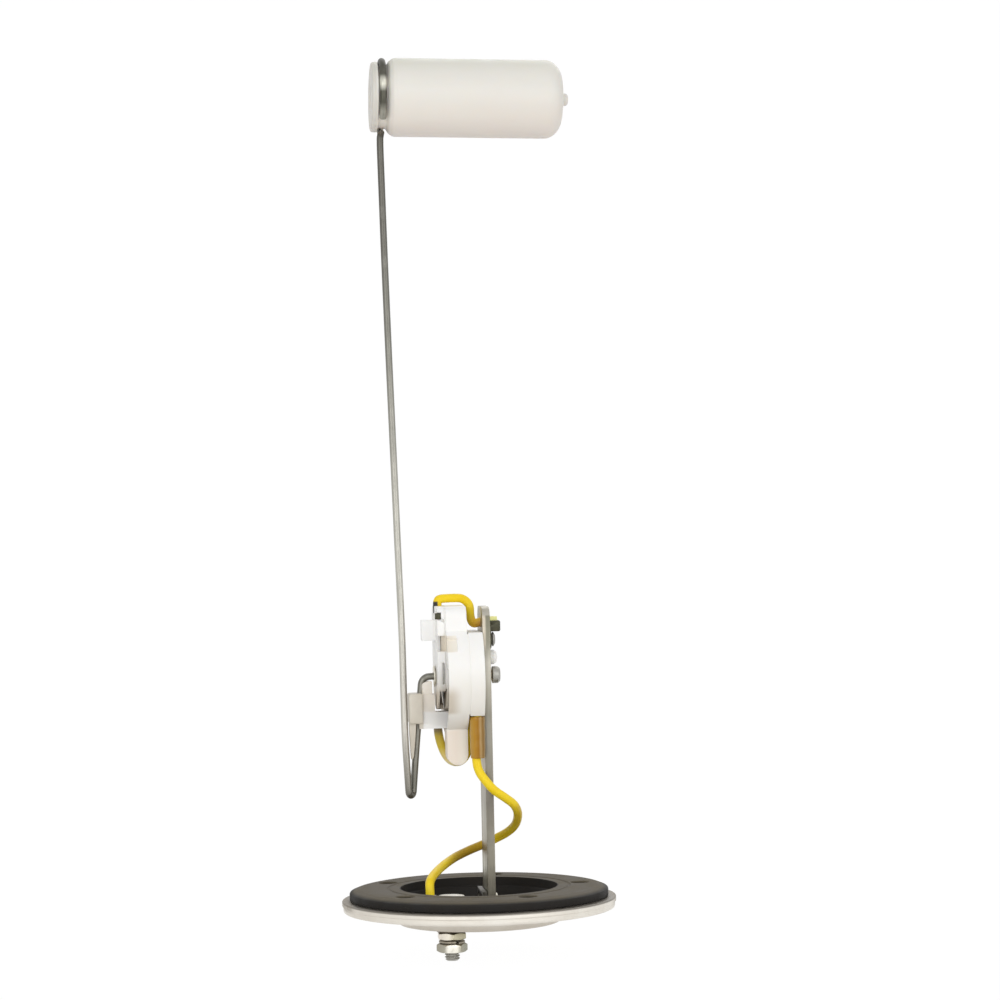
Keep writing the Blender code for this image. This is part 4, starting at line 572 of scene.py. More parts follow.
LOOKS = {look.__name__: look() for look in (
    cast_metal, rubber, zinc_steel, bright_steel, fibre, white_plastic, beige_plastic, float_plastic,
    brass, card, resistance_wire, amber_sleeve)}
WIRE_STEEL = wire_steel()
# painted light and shade across each nut: bright on the faces towards the light, dark on those turned away
NUT_INNER = plated_steel("plated_inner", [
    (0.1, 0.74, 0.68, 0.60), (0.42, 0.88, 0.82, 0.70), (0.56, 0.56, 0.52, 0.38),
    (0.9, 0.40, 0.37, 0.26)])
NUT_OUTER = plated_steel("plated_outer", [
    (0.05, 0.34, 0.32, 0.26), (0.26, 0.40, 0.38, 0.31), (0.38, 0.95, 0.92, 0.83),
    (0.66, 0.93, 0.90, 0.79), (0.78, 0.38, 0.36, 0.28), (0.95, 0.30, 0.295, 0.23)])
WASHER_STEEL = dull_steel("washer_steel", (0.26, 0.23, 0.18), (0.40, 0.37, 0.30))
THREAD_STEEL = dull_steel("thread_steel", (0.32, 0.31, 0.28), (0.52, 0.51, 0.47))
RIVET_STEEL = dull_steel("rivet_steel", (0.24, 0.23, 0.20), (0.44, 0.43, 0.40))
TERMINAL_STEEL = dull_steel("terminal_steel", (0.05, 0.05, 0.035), (0.11, 0.105, 0.07))
CAP_STEEL = dull_steel("cap_steel", (0.34, 0.33, 0.30), (0.56, 0.55, 0.51))
# painted shade: the bracket's zinc is coloured near black for the shade it sits in at the stalk's foot
SHADED_BRACKET_STEEL = dull_steel("bracket_steel", (0.045, 0.042, 0.034), (0.11, 0.10, 0.085))
EARTH_PVC = yellow_pvc("earth_pvc", limed)
SIGNAL_PVC = yellow_pvc("signal_pvc", signal_shading)
SLOT_OF = {part["node"]: part["material_slot"] for part in frame["record"]["subparts"]}
BODY_OF = {node: body for body, nodes in frame["record"]["behaviour"]["bodies"].items() for node in nodes}


# Making pieces


def mesh_object(name, mesh):
    made = bpy.data.objects.new(name, mesh)
    bpy.context.scene.collection.objects.link(made)
    return made


def smoothed(mesh, angle):
    """Smooth shading but for the edges sharper than an angle."""
    mesh.shade_smooth()
    mesh.set_sharp_from_angle(angle=radians(angle))


def from_shape(name, shape):
    """An object from a bmesh, which it frees."""
    mesh = bpy.data.meshes.new(name)
    shape.to_mesh(mesh)
    shape.free()
    return mesh_object(name, mesh)


def evaluated(made, smooth_angle=32):
    """Turns an object and its modifiers into a plain mesh, smooth but for its sharp edges."""
    bpy.context.view_layer.update()
    graph = bpy.context.evaluated_depsgraph_get()
    mesh = bpy.data.meshes.new_from_object(made.evaluated_get(graph))
    mesh.transform(made.matrix_world)
    name = made.name
    bpy.data.objects.remove(made, do_unlink=True)
    smoothed(mesh, smooth_angle)
    mesh.name = name
    return mesh_object(name, mesh)


def trim(made, body, slot, look=None):
    """Gives a piece its look, or else its slot's look, and lets it ride."""
    made.data.materials.clear()
    made.data.materials.append(look or LOOKS[slot])
    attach(made, body)


def dress(made, node, look=None, slot=None):
    """A piece that stands for a CAD node: it hides the node, and rides and looks as the node does."""
    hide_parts(node)
    trim(made, BODY_OF[node], slot or SLOT_OF[node], look)


def arc(centre, radius, start, end, steps):
    """Points of an arc in a plane, both ends included, angles in degrees."""
    start, end = radians(start), radians(end)
    return [(centre[0] + radius * cos(start + (end - start) * i / steps),
             centre[1] + radius * sin(start + (end - start) * i / steps))
            for i in range(steps + 1)]


def rounded(points, radii, steps=4):
    """An open profile whose inner corners are rounded, each by its own radius."""
    out = [points[0]]
    for i in range(1, len(points) - 1):
        before, here, after = (Vector(points[j]) for j in (i - 1, i, i + 1))
        radius = radii[i] if isinstance(radii, (list, tuple)) else radii
        one, two = (before - here), (after - here)
        if radius <= 0 or one.length < 1e-9 or two.length < 1e-9:
            out.append(tuple(here))
            continue
        angle = one.angle(two)
        if angle > radians(178):
            out.append(tuple(here))
            continue
        back = min(radius / tan(angle / 2), one.length * 0.49, two.length * 0.49)
        start, end = here + one.normalized() * back, here + two.normalized() * back
        for k in range(steps + 1):
            t = k / steps
            out.append(tuple(start * (1 - t) ** 2 + here * 2 * t * (1 - t) + end * t ** 2))
    out.append(points[-1])
    return out


def turned(name, profile, steps=64, matrix=None):
    """Turns a profile of (radius, height) points about Z; a profile off the axis closes on itself."""
    shape = bmesh.new()
    rings = []
    for radius, height in profile:
        turns = [tau * i / steps for i in range(steps if radius > 0 else 1)]
        rings.append([shape.verts.new((radius * cos(a), radius * sin(a), height)) for a in turns])
    pairs = list(zip(rings, rings[1:]))
    if len(rings[0]) > 1 or len(rings[-1]) > 1:
        pairs.append((rings[-1], rings[0]))
    for one, two in pairs:
        for i in range(steps):
            j = (i + 1) % steps
            corners = dict.fromkeys((one[i % len(one)], two[i % len(two)],
                                     two[j % len(two)], one[j % len(one)]))
            if len(corners) > 2:
                shape.faces.new(list(corners))
    bmesh.ops.recalc_face_normals(shape, faces=shape.faces)
    made = from_shape(name, shape)
    if matrix is not None:
        made.matrix_world = matrix
    return made


def ring(name, profile, radius, matrix, sides=72, steps=3):
    """A ring whose closed section has its corners rounded."""
    return turned(name, rounded([*profile, profile[0]], radius, steps)[:-1], sides, matrix)


def lofted(name, sections, smooth_angle):
    """A skin through sections of equally many points, with both ends closed."""
    shape = bmesh.new()
    rings = [[shape.verts.new(place) for place in section] for section in sections]
    for one, two in zip(rings, rings[1:]):
        for i in range(len(one)):
            j = (i + 1) % len(one)
            shape.faces.new((one[i], one[j], two[j], two[i]))
    shape.faces.new(list(reversed(rings[0])))
    shape.faces.new(rings[-1])
    bmesh.ops.recalc_face_normals(shape, faces=shape.faces)
    made = from_shape(name, shape)
    smoothed(made.data, smooth_angle)
    return made


def bevelled(made, width, segments, angle=30):
    """Adds a modifier that rounds the edges sharper than an angle."""
    step = made.modifiers.new("edges", "BEVEL")
    step.width = width
    step.segments = segments
    step.limit_method = "ANGLE"
    step.angle_limit = radians(angle)
    return step


def along_x(x):
    """A frame whose Z runs along +X, at a place on the axle."""
    return Matrix.Translation((x, 0, PIVOT.z)) @ Matrix.Rotation(pi / 2, 4, "Y")


def carved(made, tools, smooth_angle=32, within=None):
    """A piece cut down to what lies within one tool, if any, and then less all the others."""
    cuts = [(within, "INTERSECT")] if within else []
    cuts += [(tool, "DIFFERENCE") for tool in tools]
    for tool, operation in cuts:
        step = made.modifiers.new("carve", "BOOLEAN")
        step.operation = operation
        step.solver = "EXACT"
        step.object = tool
    done = evaluated(made, smooth_angle)
    for tool, _ in cuts:
        bpy.data.objects.remove(tool, do_unlink=True)
    return done


def hole_tool(radius, low, high, chamfer, place, steps=48):
    """A cutter for an upright round hole with a chamfer at each mouth."""
    past = 0.0004
    mouth = radius + chamfer + past
    profile = [(0, high + past), (mouth, high + past), (radius, high - chamfer),
               (radius, low + chamfer), (mouth, low - past), (0, low - past)]
    return turned("tool", profile, steps, Matrix.Translation((place[0], place[1], 0)))


def box_tool(low, high):
    shape = bmesh.new()
    bmesh.ops.create_cube(shape, size=1.0)
    for vert in shape.verts:
        vert.co = Vector([low[i] + (vert.co[i] + 0.5) * (high[i] - low[i]) for i in range(3)])
    return from_shape("tool", shape)


def tube(name, points, radius, sides=24):
    """A smooth round tube through points, its frame carried along without twist."""
    normal, sections = None, []
    for i, point in enumerate(points):
        tangent = (points[min(i + 1, len(points) - 1)] - points[max(i - 1, 0)]).normalized()
        normal = tangent.orthogonal() if normal is None else normal
        normal = (normal - tangent * normal.dot(tangent)).normalized()
        across = tangent.cross(normal)
        sections.append([point + (normal * cos(a) + across * sin(a)) * radius
                         for a in (tau * k / sides for k in range(sides))])
    return lofted(name, sections, 50)


def smooth_route(points, step):
    """Points about a step apart on a smooth curve through a route's own points."""
    points = [Vector(p) for p in points]
    ends = [2 * points[0] - points[1], *points, 2 * points[-1] - points[-2]]
    route = []
    for before, here, there, after in zip(ends, ends[1:], ends[2:], ends[3:]):
        count = max(1, round((there - here).length / step))
        for i in range(count):
            t = i / count
            route.append(0.5 * (2 * here + (there - before) * t
                                + (2 * before - 5 * here + 4 * there - after) * t ** 2
                                + (3 * here - before - 3 * there + after) * t ** 3))
    return [*route, points[-1]]


def refined(node, width, segments=3):
    """A copy of a CAD node with its flat faces joined up and its sharp edges rounded."""
    source = NODES[node]
    shape = bmesh.new()
    shape.from_mesh(source.data)
    bmesh.ops.remove_doubles(shape, verts=shape.verts, dist=0.000002)
    bmesh.ops.dissolve_limit(shape, angle_limit=radians(0.6), verts=shape.verts, edges=shape.edges)
    made = from_shape(f"{node}_shown", shape)
    made.matrix_world = source.matrix_world
    bevelled(made, width, segments, 34).miter_outer = "MITER_ARC"
    return evaluated(made)


# Mounting plate and gasket


def make_plate():
    """The cast plate: a machined rim with its faint ledge, bolt holes and the dish's drafted wall."""
    ledge = RIM_BOTTOM + 0.0018
    lower = PLATE_RADIUS - 0.0003
    points = [(0, DISH_FLOOR), (0.0200, DISH_FLOOR), (0.0215, RIM_TOP), (PLATE_RADIUS, RIM_TOP),
              (PLATE_RADIUS, ledge), (lower, ledge - 0.0003), (lower, RIM_BOTTOM), (0.0227, RIM_BOTTOM),
              (0.0212, 0.0), (0, 0)]
    radii = [0, 0.0005, 0.0003, 0.00035, 0.00008, 0.00008, 0.0009, 0.0007, 0.0008, 0]
    plate = turned("mounting_plate_shown", rounded(points, radii, 6), 220)
    tools = [hole_tool(BOLT_RADIUS, RIM_BOTTOM, RIM_TOP, 0.00025, place) for place in BOLT_PLACES]
    tools.append(hole_tool(0.00325, 0, DISH_FLOOR, 0.00015, STUD))
    tools += [hole_tool(0.00115, 0, DISH_FLOOR, 0.0001, (FOOT_RIVET_X, y), 28) for y in FOOT_RIVETS_Y]
    dress(carved(plate, tools), "mounting_plate")


def make_gasket():
    """The moulded gasket, with its sloping shoulder, skirt and a faint sealing bead."""
    low, top = 0.0067, 0.0093
    points = [(0.02065, top), (0.0232, top), (0.0235, top - 0.00022), (0.0239, top - 0.00022),
              (0.0242, top), (0.0310, top), (0.0325, top - 0.00028), (0.03385, 0.0085),
              (0.0340, 0.0082), (0.0340, low - 0.0001), (0.02115, low - 0.0001), (0.01975, 0.0018),
              (0.0188, 0.0018), (0.0203, low), (0.02065, low + 0.0003), (0.02065, top)]
    radii = [0, 0.0001, 0.0002, 0.0002, 0.0001, 0.0006, 0.001, 0.0003, 0.0003, 0.0002, 0.0002, 0.0002,
             0.0003, 0.0002, 0.0002, 0]
    gasket = turned("gasket_shown", rounded(points, radii, 5)[:-1], 220)
    tools = [hole_tool(BOLT_RADIUS, low - 0.0001, top, 0.0002, place) for place in BOLT_PLACES]
    dress(carved(gasket, tools), "gasket")


# Terminal stud


def hex_piece(name, bottom, top, bore=None, turn=0.0):
    """A hexagon round the stud: a nut chamfered at both ends, or without a bore the stud's head."""
    corner = ACROSS_FLATS / sqrt(3)
    face = ACROSS_FLATS * 0.475
    past = 0.0002
    reach = corner + past
    solid = turned(name, [(0, top + past), (corner, top + past), (corner, bottom - past), (0, bottom - past)],
                   6, ON_STUD @ Matrix.Rotation(radians(30) + turn, 4, "Z"))
    drop = 0.0004 * (reach - face) / (corner - face)
    lens = [(0, top), (face, top), (reach, top - drop)]
    if bore:
        lens += [(reach, bottom + drop), (face, bottom), (0, bottom)]
    else:
        lens += [(reach, bottom + 0.0001), (reach - 0.0001, bottom), (0, bottom)]
    bores = [hole_tool(bore, bottom, top, 0.00035, STUD)] if bore else []
    made = carved(solid, bores, 12, turned("tool", lens, 72, ON_STUD))
    bevelled(made, 0.00007, 2, 25)
    return evaluated(made, 20 if bore else 12)


def threaded(name, low, high):
    """A threaded rod round the stud's axis, with a chamfered end and a helical ridge."""
    pitch, depth, sides, per_turn = 0.0007, 0.00038, 48, 14
    steepness, crest = 2.6, 0.86
    rows = round((high - low) / pitch * per_turn)
    sections = []
    for row in range(rows + 1):
        z = low + (high - low) * row / rows
        section = []
        for i in range(sides):
            phase = (z / pitch - i / sides) % 1.0
            ridge = min(max(0.0, 1 - abs(phase - 0.5) * steepness), crest) / crest
            size = STUD_RADIUS - depth * (1 - ridge)
            if z - low < 0.0005:
                size = min(size, STUD_RADIUS - 0.00055 + (z - low) * 1.1)
            angle = tau * i / sides
            section.append((STUD.x + size * cos(angle), STUD.y + size * sin(angle), z))
        sections.append(section)
    return lofted(name, sections, 45)


def make_stud():
    """The insulated stud with its head in the dish, and the nuts and washers below the plate."""
    dress(hex_piece("terminal_stud_shown", 0.0050, 0.0082), "terminal_stud")
    trim(threaded("stud_thread", -0.0086, 0.0046), "root", "bright_steel", THREAD_STEEL)
    hole, nut_bore = 0.00225, 0.0019
    bush = [(hole, 0.0038), (0.0042, 0.0038), (0.0042, 0.0016), (0.003, 0.0016), (0.003, 0.0001),
            (hole, 0.0001)]
    dress(evaluated(ring("stud_bush_shown", bush, 0.00025, ON_STUD, steps=4)), "stud_bush")
    washer = [(hole, -0.0001), (0.004, -0.0001), (0.004, -0.00105), (hole, -0.00105)]
    dress(evaluated(ring("outer_washer_shown", washer, 0.00015, ON_STUD)), "outer_washer")
    for node, bottom, top, turn, look in (("stud_nut_inner", -0.0031, -0.0012, 0.0, NUT_INNER),
                                          ("stud_nut_outer", -0.0064, -0.0041, radians(30), NUT_OUTER)):
        dress(hex_piece(f"{node}_shown", bottom, top, nut_bore, turn), node, look)
    spring_washer()


def spring_washer():
    """A split washer, its two ends sprung a little apart."""
    inner, outer, half, rise, corner = 0.0021, 0.0034, 0.00028, 0.00022, 0.0001
    steps, gap = 56, radians(13)
    section = ((inner, half), (outer - corner, half), (outer, half - corner),
               (outer, corner - half), (outer - corner, -half), (inner, -half))
    sections = []
    for i in range(steps + 1):
        t = i / steps
        angle = radians(-70) + gap / 2 + (tau - gap) * t
        out, z = Vector((cos(angle), sin(angle), 0)), -0.00372 + (t - 0.5) * rise
        sections.append([STUD + out * r + Vector((0, 0, z + h)) for r, h in section])
    made = lofted("spring_washer_shown", sections, 30)
    dress(made, "spring_washer", WASHER_STEEL, slot="zinc_steel")


# Stalk and bracket


def make_rivet(node, start, end):
    """A rivet whose head stands past end, and whose formed tail is flush at start."""
    radius, head_radius, head_height = 0.0009, 0.0017, 0.00095
    start, end = Vector(start), Vector(end)
    run = (end - start).length
    dome = [(0, run + head_height)]
    for angle in (radians(90 - i * 10) for i in range(1, 9)):
        dome.append((head_radius * cos(angle) / cos(radians(10)),
                     run + head_height * (0.25 + 0.75 * sin(angle))))
    dome += [(head_radius, run + head_height * 0.3), (head_radius, run + 0.00005),
             (head_radius - 0.00005, run), (radius, run), (radius, 0), (0, 0)]
    turn = (end - start).to_track_quat("Z", "Y").to_matrix().to_4x4()
    dress(evaluated(turned(f"{node}_shown", dome, 40, Matrix.Translation(start) @ turn)), node)


def make_stalk():
    dress(refined("stalk", 0.00022), "stalk")
    dress(refined("stalk_bracket", 0.00016), "stalk_bracket", SHADED_BRACKET_STEEL)
    for i, y in enumerate((-0.0035, 0.0035)):
        make_rivet(f"bracket_rivet_{i + 1}", (STALK_LEFT - 0.0015, y, 0.0062),
                   (STALK_RIGHT + 0.00008, y, 0.0062))
    for i, y in enumerate(FOOT_RIVETS_Y):
        make_rivet(f"foot_rivet_{i + 1}", (FOOT_RIVET_X, y, 0.00012), (FOOT_RIVET_X, y, 0.00308))


# The arm


def bow(height):
    """How far the long leg stands off the straight line between its ends, along X."""
    for (low, here), (high, there) in zip(LEG_BOW, LEG_BOW[1:]):
        if low <= height <= high:
            return here + (there - here) * (height - low) / (high - low)
    return 0.0


def arm_route():
    """The float arm's centreline, from the end of its axle to the cut end of its ring."""
    axle_end, axle_start, bend = 0.00595, -0.0118, 0.0023
    leg_y, lean = -0.002, -0.0005
    points = [Vector((axle_end + (axle_start - axle_end) * i / 14, 0, PIVOT.z)) for i in range(14)]
    points += [Vector((x, 0, z)) for x, z in arc((axle_start, PIVOT.z - bend), bend, 90, 180, 12)]
    inner, outer = Vector((-0.0167, 0, 0.035)), Vector((-0.0181, leg_y, 0.035))
    inner_knee, knee = Vector((-0.0156, 0, 0.0475)), Vector((-0.0188, leg_y, 0.05))
    points += [points[-1].lerp(inner_knee, i / 7) for i in range(1, 8)]
    points += [inner_knee.lerp(inner, i / 7) for i in range(1, 7)]
    middle, reach = (inner + outer) / 2, (inner - outer) / 2
    points += [middle + reach.normalized() * across + Vector((0, 0, up))
               for across, up in arc((0, 0), reach.length, 0, -180, 16)]
    points += [outer.lerp(knee, i / 6) for i in range(1, 6)]
    tilt = Matrix.Rotation(FLOAT_TILT, 3, "Y")
    centre = FLOAT_CENTRE + tilt @ Vector((RING_INSET - FLOAT_HALF, 0, 0))
    turn = -leg_y
    leg_top = centre + tilt @ Vector((lean, leg_y, -RING_RADIUS - turn))
    leg = [knee.lerp(leg_top, i / 40) for i in range(40)]
    points += [place + Vector((bow(place.z), 0, 0)) for place in leg]
    points.append(leg_top)
    for i in range(1, 8):
        angle = i / 8 * pi / 2
        points.append(centre + tilt @ Vector((lean * (1 - i / 8), -turn * cos(angle),
                                              -RING_RADIUS - turn + turn * sin(angle))))
    points += [centre + tilt @ Vector((0, y, z)) for y, z in arc((0, 0), RING_RADIUS, -90, 222, 72)]
    return points


def eased(points, rounds=2):
    """Smooths the corners of a route without moving its ends."""
    for _ in range(rounds):
        within = [(a + 2 * b + c) / 4 for a, b, c in zip(points, points[1:], points[2:])]
        points = [points[0], *within, points[-1]]
    return points


def make_arm():
    dress(tube("float_arm_shown", eased(arm_route()), WIRE_RADIUS), "float_arm", WIRE_STEEL)
    profile = [(0, 0.0021), (0.0017, 0.0021), (0.00225, 0.0015), (0.00225, 0.0), (BUSH_BORE, 0.0),
               (BUSH_BORE, 0.0016), (0, 0.0016)]
    cap = turned("axle_cap_shown", rounded(profile, 0.00025, 4), 56, along_x(0.00465))
    dress(evaluated(cap), "axle_cap", CAP_STEEL, slot="zinc_steel")
    dress(refined("lever", 0.00014, 2), "lever")
    make_lever_webs()
    dress(refined("wiper", 0.00004, 2), "wiper")


def make_lever_webs():
    """The moulded webs of the lever: one between the hairpin's two legs, one above the block."""
    sections = []
    for z, left, right, thick in ((0.0534, -0.0176, -0.0157, 0.0024), (0.0500, -0.01755, -0.0159, 0.0022),
                                  (0.0465, -0.0174, -0.0162, 0.0018), (0.0440, -0.0173, -0.0165, 0.0013),
                                  (0.0432, -0.01715, -0.0167, 0.0007)):
        front, back = -0.001 - thick / 2, -0.001 + thick / 2
        sections.append([(left, front, z), (right, front, z), (right, back, z), (left, back, z)])
    tail = lofted("lever_tail", sections, 40)
    bevelled(tail, 0.0002, 3)
    corners = [(-0.0141, 0.0600), (-0.0141, 0.0626), (-0.0136, 0.0632), (-0.0121, 0.0637), (-0.0113, 0.0635),
               (-0.0113, 0.0600)]
    gusset = lofted("lever_gusset", [[(x, y, z) for x, z in corners] for y in (-0.0014, 0.0006)], 40)
    bevelled(gusset, 0.00015, 2)
    for web in (tail, gusset):
        trim(evaluated(web, 40), "arm", "beige_plastic")


def make_float():
    """The float: a rim, the groove for the ring, a long barrel and a domed end with its nipple."""
    left, right = -FLOAT_HALF, FLOAT_HALF
    groove, shoulder = left + 0.00175, left + 0.00405
    neck, rim, body, dome_start = 0.0082, 0.0092, 0.0103, 0.0052
    points = [(0, right + 0.0014), (0.0011, right + 0.0014), (0.0016, right + 0.0010),
              (0.0017, right - 0.0001), (0.0031, right - 0.0002), (dome_start, right - 0.0004)]
    dome = [(dome_start + (body - dome_start) * cos(radians(a)), right - 0.005 + 0.0046 * sin(radians(a)))
            for a in range(84, -1, -6)]
    tail = [(body, 0.0), (body, shoulder + 0.0025), (body - 0.0002, shoulder + 0.0016),
            (body - 0.0009, shoulder + 0.0007), (neck + 0.0001, shoulder), (neck, groove), (rim, groove),
            (rim, left), (0.0034, left), (0.0030, left + 0.0004), (0, left + 0.0004)]
    radii = [0.0002] * len(points) + [0] * len(dome)
    radii += [0, 0.002, 0.001, 0.0006, 0.0003, 0.0003, 0.0003, 0.0009, 0.0002, 0.0003, 0]
    turn = Matrix.Rotation(FLOAT_TILT, 4, "Y") @ Matrix.Rotation(pi / 2, 4, "Y")
    body_piece = turned("float_shown", rounded([*points, *dome, *tail], radii), 112,
                        Matrix.Translation(FLOAT_CENTRE) @ turn)
    dress(evaluated(body_piece, 24), "float")


# Housing


def strip(name, line, inward, low, high, slot="white_plastic", look=None):
    """A thin rim between two places along X that follows a line of (y, z) points round the axle."""
    sections = []
    for y, z in line:
        to_middle = Vector((0, min(max(z, PIVOT.z), 0.0805))) - Vector((y, z))
        inner = Vector((y, z)) + to_middle.normalized() * inward
        sections.append([(low, y, z), (high, y, z), (high, *inner), (low, *inner)])
    trim(lofted(name, sections, 30), "root", slot, look)


def make_seams():
    """White rims just inside the housing's two joints, so that each reads as a fine line."""
    for name, sign in (("front", -1), ("rear", 1)):
        line = [(sign * y, PIVOT.z + z) for y, z in arc((0, 0), 0.01486, -40, 49, 48)]
        strip(f"base_seam_{name}", line, 0.0008, -0.00266, -0.00222)
    half, corner, top = 0.00815, 0.0023, 0.08305
    side = [(y, PIVOT.z + z) for y, z in arc((0, 0), 0.0085, -20, 15, 10)]
    side += [(half, PIVOT.z + 0.0026 + 0.001 * i) for i in range(13)]
    side += arc((half - corner, top - corner), corner, 0, 90, 8)
    strip("cover_seam", [(-y, z) for y, z in side] + side[::-1], 0.0006, -0.00836, -0.00792)


def fill_cover():
    """What shows in the cover's openings: plates behind the notch and the slot, and a dark strip in the top
    notch.
    """
    line = [(-0.0079, 0.0712 + 0.0011 * i) for i in range(8)]
    strip("notch_backing", line, 0.0004, -0.00925, -0.00836)
    line = [(-0.0074, 0.0632 + 0.0006 * i) for i in range(10)]
    strip("slot_backing", line, 0.0003, -0.00923, -0.00855)
    line = [(-0.0078, 0.0800), (-0.0079, 0.0805), (-0.0079, 0.0811), (-0.0077, 0.0816)]
    strip("notch_dark_strip", line, 0.0006, -0.0107, -0.0092, "dark_steel", TERMINAL_STEEL)


def make_housing():
    dress(refined("sensor_housing", 0.0003), "sensor_housing")
    dress(refined("sensor_base", 0.00025), "sensor_base")
    notch = box_tool((-0.0108, -0.0100, 0.0799), (-0.0091, -0.0065, 0.0818))
    dress(carved(refined("housing_cover", 0.0002), [notch]), "housing_cover")
    make_seams()
    fill_cover()
    front = [(BUSH_BORE, 0.0014), (0.00205, 0.0014), (0.00205, 0.0003), (0.0028, 0.0003), (0.0028, 0.0),
             (BUSH_BORE, 0.0)]
    dress(evaluated(ring("front_bush_shown", front, 0.00008, along_x(-0.01079), 56)), "front_bush")
    rear = [(BUSH_BORE, 0.00664), (0.0020, 0.00664), (0.0021, 0.00655), (0.0021, 0.00612), (0.00205, 0.00612),
            (0.00205, 0.0), (BUSH_BORE, 0.0)]
    dress(evaluated(turned("rear_bush_shown", rear, 56, along_x(-0.00229))), "rear_bush")
    for node in ("resistor_card", "resistance_winding", "signal_tag", "contact_strip"):
        NODES[node].data.materials.clear()
        NODES[node].data.materials.append(LOOKS[SLOT_OF[node]])


def make_terminals():
    dress(refined("earth_terminal", 0.00012), "earth_terminal", TERMINAL_STEEL)
    dress(refined("ring_terminal", 0.00012), "ring_terminal")
    dress(refined("fixing_rivet", 0.0001, 2), "fixing_rivet", RIVET_STEEL)


def earth_route():
    """From the cover's top edge over the housing, down to the base and through the stalk to its terminal."""
    saddle_x, drop_x, y = -0.0092, -0.0006, 0.002
    loop_top, base_top, notch_floor, gap = 0.0862, 0.0764, 0.07745, 0.0003
    over = loop_top - LEAD_RADIUS
    above_base = base_top + gap + LEAD_RADIUS
    in_notch = notch_floor + gap + LEAD_RADIUS
    return [(saddle_x, y, 0.0813), (saddle_x, y, over - 0.0011), (saddle_x + 0.0002, y, over - 0.0003),
            (saddle_x + 0.0010, y, over), (saddle_x + 0.005, y, over + 0.0001),
            (drop_x - 0.0018, y, over - 0.0002), (drop_x - 0.0002, y, over - 0.0018),
            (drop_x, 0.0016, above_base + 0.0024), (drop_x + 0.0007, 0.0011, above_base + 0.0005),
            (STALK_LEFT - 0.0001, 0.0008, in_notch - 0.0002), (STALK_RIGHT, 0.0008, in_notch + 0.0001),
            (0.0063, 0.0008, in_notch + 0.0001)]


def signal_route():
    """From the card's tag, in a loop, through the housing and round the stalk to the stud."""
    channel = -0.00069  # the middle of the way through the housing
    reach, angle, top = 0.0056, radians(190), 0.0088
    barrel_x, barrel_y = STUD.x + reach * cos(angle), STUD.y + reach * sin(angle)
    return [(-0.00399, 0.0047, 0.05396), (-0.00799, 0.0047, 0.05396),
            (-0.0090, 0.0048, 0.0533), (-0.0095, 0.0048, 0.0513), (-0.0092, 0.0046, 0.0482),
            (-0.0082, 0.0043, 0.0449), (-0.0067, 0.0042, 0.0425), (-0.0048, 0.0041, 0.0417),
            (-0.0028, 0.0041, 0.0427), (-0.0013, 0.0041, 0.0459), (channel, 0.0041, 0.0500),
            (channel, 0.0041, 0.0550), (channel, 0.0034, 0.0576), (channel, 0.0013, 0.0588),
            (channel, -0.0025, 0.0589), (channel, -0.0063, 0.0587), (channel, -0.0084, 0.0572),
            (-0.00035, -0.0089, 0.0548), (-0.00040, -0.0089, 0.0500), (-0.0008, -0.0089, 0.0437),
            (-0.0002, -0.0092, 0.0403), (0.0015, -0.0098, 0.0377), (0.0036, -0.0098, 0.0353),
            (0.0066, -0.0084, 0.0331), (0.0092, -0.0058, 0.0309), (0.0105, -0.0020, 0.0282),
            (0.0104, 0.0028, 0.0251), (0.0088, 0.0068, 0.0227), (0.0060, 0.0097, 0.0208),
            (0.0026, 0.0104, 0.0192), (-0.0015, 0.0092, 0.0178), (-0.0058, 0.0060, 0.0163),
            (-0.0096, 0.0008, 0.0146), (-0.0125, -0.0055, 0.0130),
            (barrel_x, barrel_y + 0.0007, top + 0.0028), (barrel_x, barrel_y, top + 0.0012),
            (barrel_x, barrel_y, top - 0.0002)]


def make_leads():
    """Both leads as smooth tubes along their routes."""
    for node, route, step, look in (("earth_lead", earth_route(), 0.0003, EARTH_PVC),
                                    ("signal_lead", signal_route(), 0.0004, SIGNAL_PVC)):
        dress(tube(f"{node}_shown", eased(smooth_route(route, step), 6), LEAD_RADIUS), node, look)


def make_sleeve():
    """The amber sleeve, a little uneven where it was slipped and shrunk over its lead."""
    low, high = 0.0437, 0.0545
    outer, inner = 0.002, 0.0013
    points = []
    for t in (i / 14 for i in range(15)):
        bulge = 0.00004 * sin(t * 19) - 0.00010 * t ** 3
        points.append((outer + bulge, high + (low - high) * t))
    profile = [(inner, high), *points, (inner, low)]
    made = ring("lead_sleeve_shown", profile, 0.00012, Matrix.Translation((-0.00035, -0.0089, 0)), 48)
    dress(evaluated(made, 50), "lead_sleeve")


# Studio


def shader(tree, kind, **values):
    made = tree.nodes.new(kind)
    for socket, value in values.items():
        made.inputs[socket].default_value = value
    return made.outputs[0]


def directly_seen(tree):
    """1 for rays from the camera and for those that a glossy or clear surface sends on."""
    path = tree.nodes.new("ShaderNodeLightPath")
    seen = path.outputs["Is Camera Ray"]
    for other in ("Is Glossy Ray", "Is Transmission Ray"):
        most = tree.nodes.new("ShaderNodeMath")
        most.operation = "MAXIMUM"
        tree.links.new(seen, most.inputs[0])
        tree.links.new(path.outputs[other], most.inputs[1])
        seen = most.outputs["Value"]
    return seen


def blended(tree, factor, one, two):
    """Two shaders mixed by a number or by a socket."""
    made = tree.nodes.new("ShaderNodeMixShader")
    if isinstance(factor, float):
        made.inputs["Fac"].default_value = factor
    else:
        tree.links.new(factor, made.inputs["Fac"])
    tree.links.new(one, made.inputs[1])
    tree.links.new(two, made.inputs[2])
    return made.outputs["Shader"]


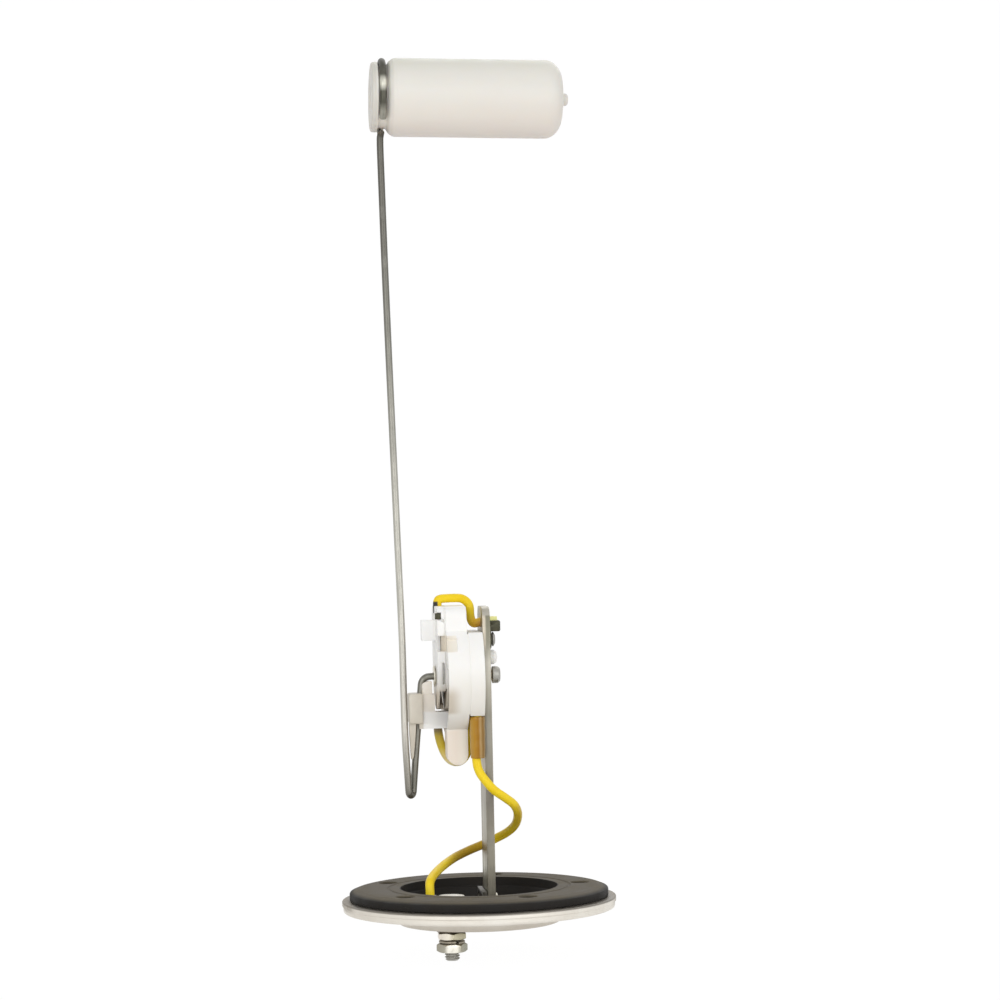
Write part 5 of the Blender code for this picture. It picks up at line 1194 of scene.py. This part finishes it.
def two_faced(owner, out_kind, shaders):
    """Wires a material or world: the first shader is the light that it gives, the second is what is seen."""
    owner.use_nodes = True
    tree = owner.node_tree
    tree.nodes.clear()
    given, shown = shaders(tree)
    out = tree.nodes.new(out_kind)
    tree.links.new(blended(tree, directly_seen(tree), given, shown), out.inputs["Surface"])
    return owner


def paper(tree):
    """White with a soft shadow where it is seen, pale grey in the light that it throws back."""
    shaded = shader(tree, "ShaderNodeBsdfDiffuse", Color=(0.95, 0.95, 0.95, 1))
    thrown = shader(tree, "ShaderNodeBsdfDiffuse", Color=(0.87, 0.86, 0.85, 1))
    glow = shader(tree, "ShaderNodeEmission", Strength=1.02)
    return thrown, blended(tree, 0.96, shaded, glow)


def surround(tree):
    """A plain even light from all round, seen as white."""
    return [shader(tree, "ShaderNodeBackground", Color=(1, 1, 1, 1), Strength=s) for s in (0.68, 1.0)]


def lamp(name, place, size, power):
    """A round soft lamp that looks at the middle of the object."""
    data = bpy.data.lights.new(name, "AREA")
    data.shape = "DISK"
    data.size = size
    data.energy = power
    made = bpy.data.objects.new(name, data)
    made.location = place
    made.rotation_euler = (Vector((0, 0, 0.09)) - Vector(place)).to_track_quat("-Z", "Y").to_euler()
    bpy.context.scene.collection.objects.link(made)


def make_studio():
    """A white sweep that keeps a soft shadow, three soft lamps and a plain white surround."""
    ground, half_width, front, back, wall, curve = -0.0088, 3.0, -1.6, 1.0, 3.0, 0.6
    shape = bmesh.new()
    rows = [(front, 0.0), (back, 0.0)]
    rows += [(back + curve * sin(a), curve * (1 - cos(a))) for a in (radians(d) for d in range(10, 91, 10))]
    rows.append((back + curve, wall))
    lines = [[shape.verts.new((x, y, ground + z)) for x in (-half_width, half_width)] for y, z in rows]
    for one, two in zip(lines, lines[1:]):
        shape.faces.new((one[0], one[1], two[1], two[0]))
    sweep = from_shape("sweep", shape)
    sweep.data.shade_smooth()
    sweep.data.materials.append(
        two_faced(bpy.data.materials.new("sweep_paper"), "ShaderNodeOutputMaterial", paper))
    scene = bpy.context.scene
    scene.world = two_faced(bpy.data.worlds.new("surround"), "ShaderNodeOutputWorld", surround)
    lamp("key", (-0.55, -1.05, 0.32), 0.9, 3.8)
    lamp("fill", (0.65, -1.0, 0.20), 0.9, 3.5)
    lamp("back", (0.2, 0.8, 0.8), 0.8, 1.4)
    scene.view_settings.view_transform = "Standard"


make_plate()
make_gasket()
make_stud()
make_stalk()
make_arm()
make_float()
make_housing()
make_terminals()
make_leads()
make_sleeve()
make_studio()
